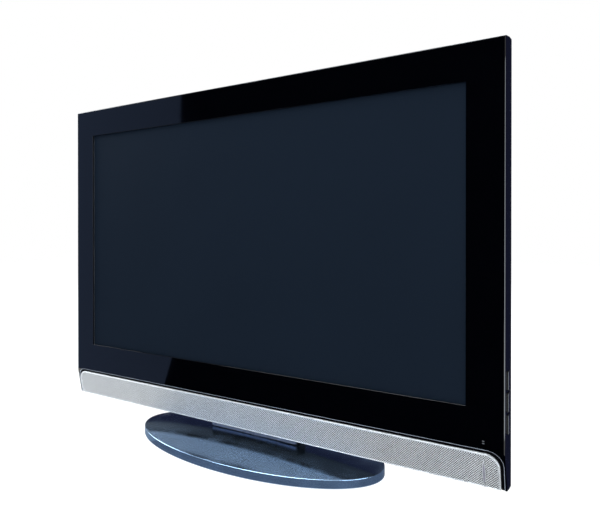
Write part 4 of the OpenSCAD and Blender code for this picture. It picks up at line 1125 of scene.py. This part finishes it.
world = bpy.context.scene.world or bpy.data.worlds.new("studio_room")
bpy.context.scene.world = world
world.use_nodes = True
room = world.node_tree.nodes["Background"]
white_part = add_node(
    world, "MapRange", {"Value": seen_directly(world), "To Min": ambient, "To Max": 1.0})
world.node_tree.links.new(white_part.outputs["Result"], room.inputs["Strength"])
room.inputs["Color"].default_value = (1, 1, 1, 1)


def add_card(name, corners, colour, strength):
    """A flat card that only gloss sees: black to darken a reflection, or bright to give one."""
    card = draw_outline(name, corners)
    paper = bpy.data.materials.new(name)
    paper.use_nodes = True
    paper.node_tree.nodes.remove(paper.node_tree.nodes["Principled BSDF"])
    shine = add_node(paper, "Emission", {"Color": (*colour, 1), "Strength": strength})
    output = paper.node_tree.nodes["Material Output"].inputs["Surface"]
    paper.node_tree.links.new(shine.outputs["Emission"], output)
    card.data.materials.append(paper)
    card.visible_camera = False
    card.visible_diffuse = False
    card.visible_transmission = False
    card.visible_shadow = False


black, dusk = (0, 0, 0), (0.03, 0.035, 0.085)
blue_grey, cold = (0.168, 0.24, 0.42), (0.85, 0.92, 1.0)
base_grey, base_pale = (0.17, 0.2, 0.26), (0.3, 0.36, 0.44)
card_foot = 0.002
flag_y, flag_left, flag_right, flag_top = -1.6, -1.65, 1.6, 2.4
blue_left, blue_near = -5.0, -1.5
floor_front, floor_start, floor_left, floor_right = -0.2, -0.339, -1.593, 0.5
side_x, side_near, side_far = 1.4, 0.2, 3.0
edge_x, edge_far = 1.55, 0.15
ceiling_height = 2.25


def upright(left, right, top):
    """The corners of a card that stands on the floor between two points."""
    return ((*left, card_foot), (*right, card_foot), (*right, top), (*left, top))


def lying(*points, height=card_foot):
    """The corners of a level card, on the floor or at a height."""
    return [(*point, height) for point in points]


add_card("front_flag", upright((flag_left, flag_y), (flag_right, flag_y), flag_top), black, 0)
add_card("blue_wall", upright((blue_left, flag_y), (flag_left, flag_y), flag_top), blue_grey, 1)
floor_corner, floor_end = (floor_start, floor_front), (floor_left, flag_y)
add_card(
    "floor_flag",
    lying(floor_corner, (floor_right, floor_front), (floor_right, flag_y), floor_end), black, 0)
add_card(
    "blue_floor",
    lying(floor_corner, floor_end, (blue_left, flag_y), (blue_near, floor_front)), blue_grey, 1)
side_line = (side_x, side_near), (side_x, side_far)
add_card("side_flag", upright(*side_line, 2.0), dusk, 1)
add_card("side_floor_flag", lying((0.43, 0.0), *side_line, (0.43, 1.0)), dusk, 1)
add_card("rear_flag", upright((-3.0, 1.3), (0.8, 1.3), 1.6), dusk, 0.5)
edge_start, edge_end = (edge_x, flag_y), (edge_x, edge_far)
add_card("edge_strip", upright(edge_start, edge_end, 0.9), cold, 7)
add_card("edge_floor", lying((0.6, -0.31), (0.73, 0.01), edge_end, edge_start), cold, 7)
dusk_front, dusk_back = (-0.16, floor_front), (-0.16, -0.05)
add_card(
    "base_dusk", lying(dusk_front, (0.34, floor_front), (0.34, 0.08), (0.1, 0.08), dusk_back),
    base_grey, 1)
add_card(
    "base_half_dusk", lying((-0.24, floor_front), dusk_front, dusk_back, (-0.24, 0.0)),
    base_pale, 1)
add_card(
    "foot_flag", lying((0.35, -0.14), (0.405, -0.14), (0.405, -0.045), (0.35, -0.045)), black, 0)
add_card(
    "ceiling_strip",
    lying((-1.75, -1.2), (0.2, -1.2), (0.2, -0.2), (-1.75, -0.2), height=ceiling_height), cold, 10)


def add_lamp(name, place, aim, size, power, colour):
    """A square soft box."""
    turn = (Vector(aim) - Vector(place)).to_track_quat("-Z", "Y").to_euler()
    bpy.ops.object.light_add(type="AREA", location=place, rotation=turn)
    lamp = bpy.context.object
    lamp.name = name
    lamp.data.shape = "SQUARE"
    lamp.data.size = size
    lamp.data.energy = power
    lamp.data.color = colour


cool = (0.93, 0.97, 1.0)
add_lamp("top_soft_box", (-0.4, -0.75, 2.2), (-0.1, -0.1, 0.2), 1.5, 40, cool)
add_lamp("right_soft_box", (1.3, -2.4, 1.1), (0, 0, 0.3), 1.3, 45, cool)
add_lamp("left_soft_box", (-2.4, -0.3, 1.3), (0, 0, 0.3), 1.3, 40, cool)
add_lamp("rear_soft_box", (0.3, 2.2, 2.2), (0, 0, 0.3), 1.6, 45, cool)
bpy.context.scene.view_settings.view_transform = "Standard"
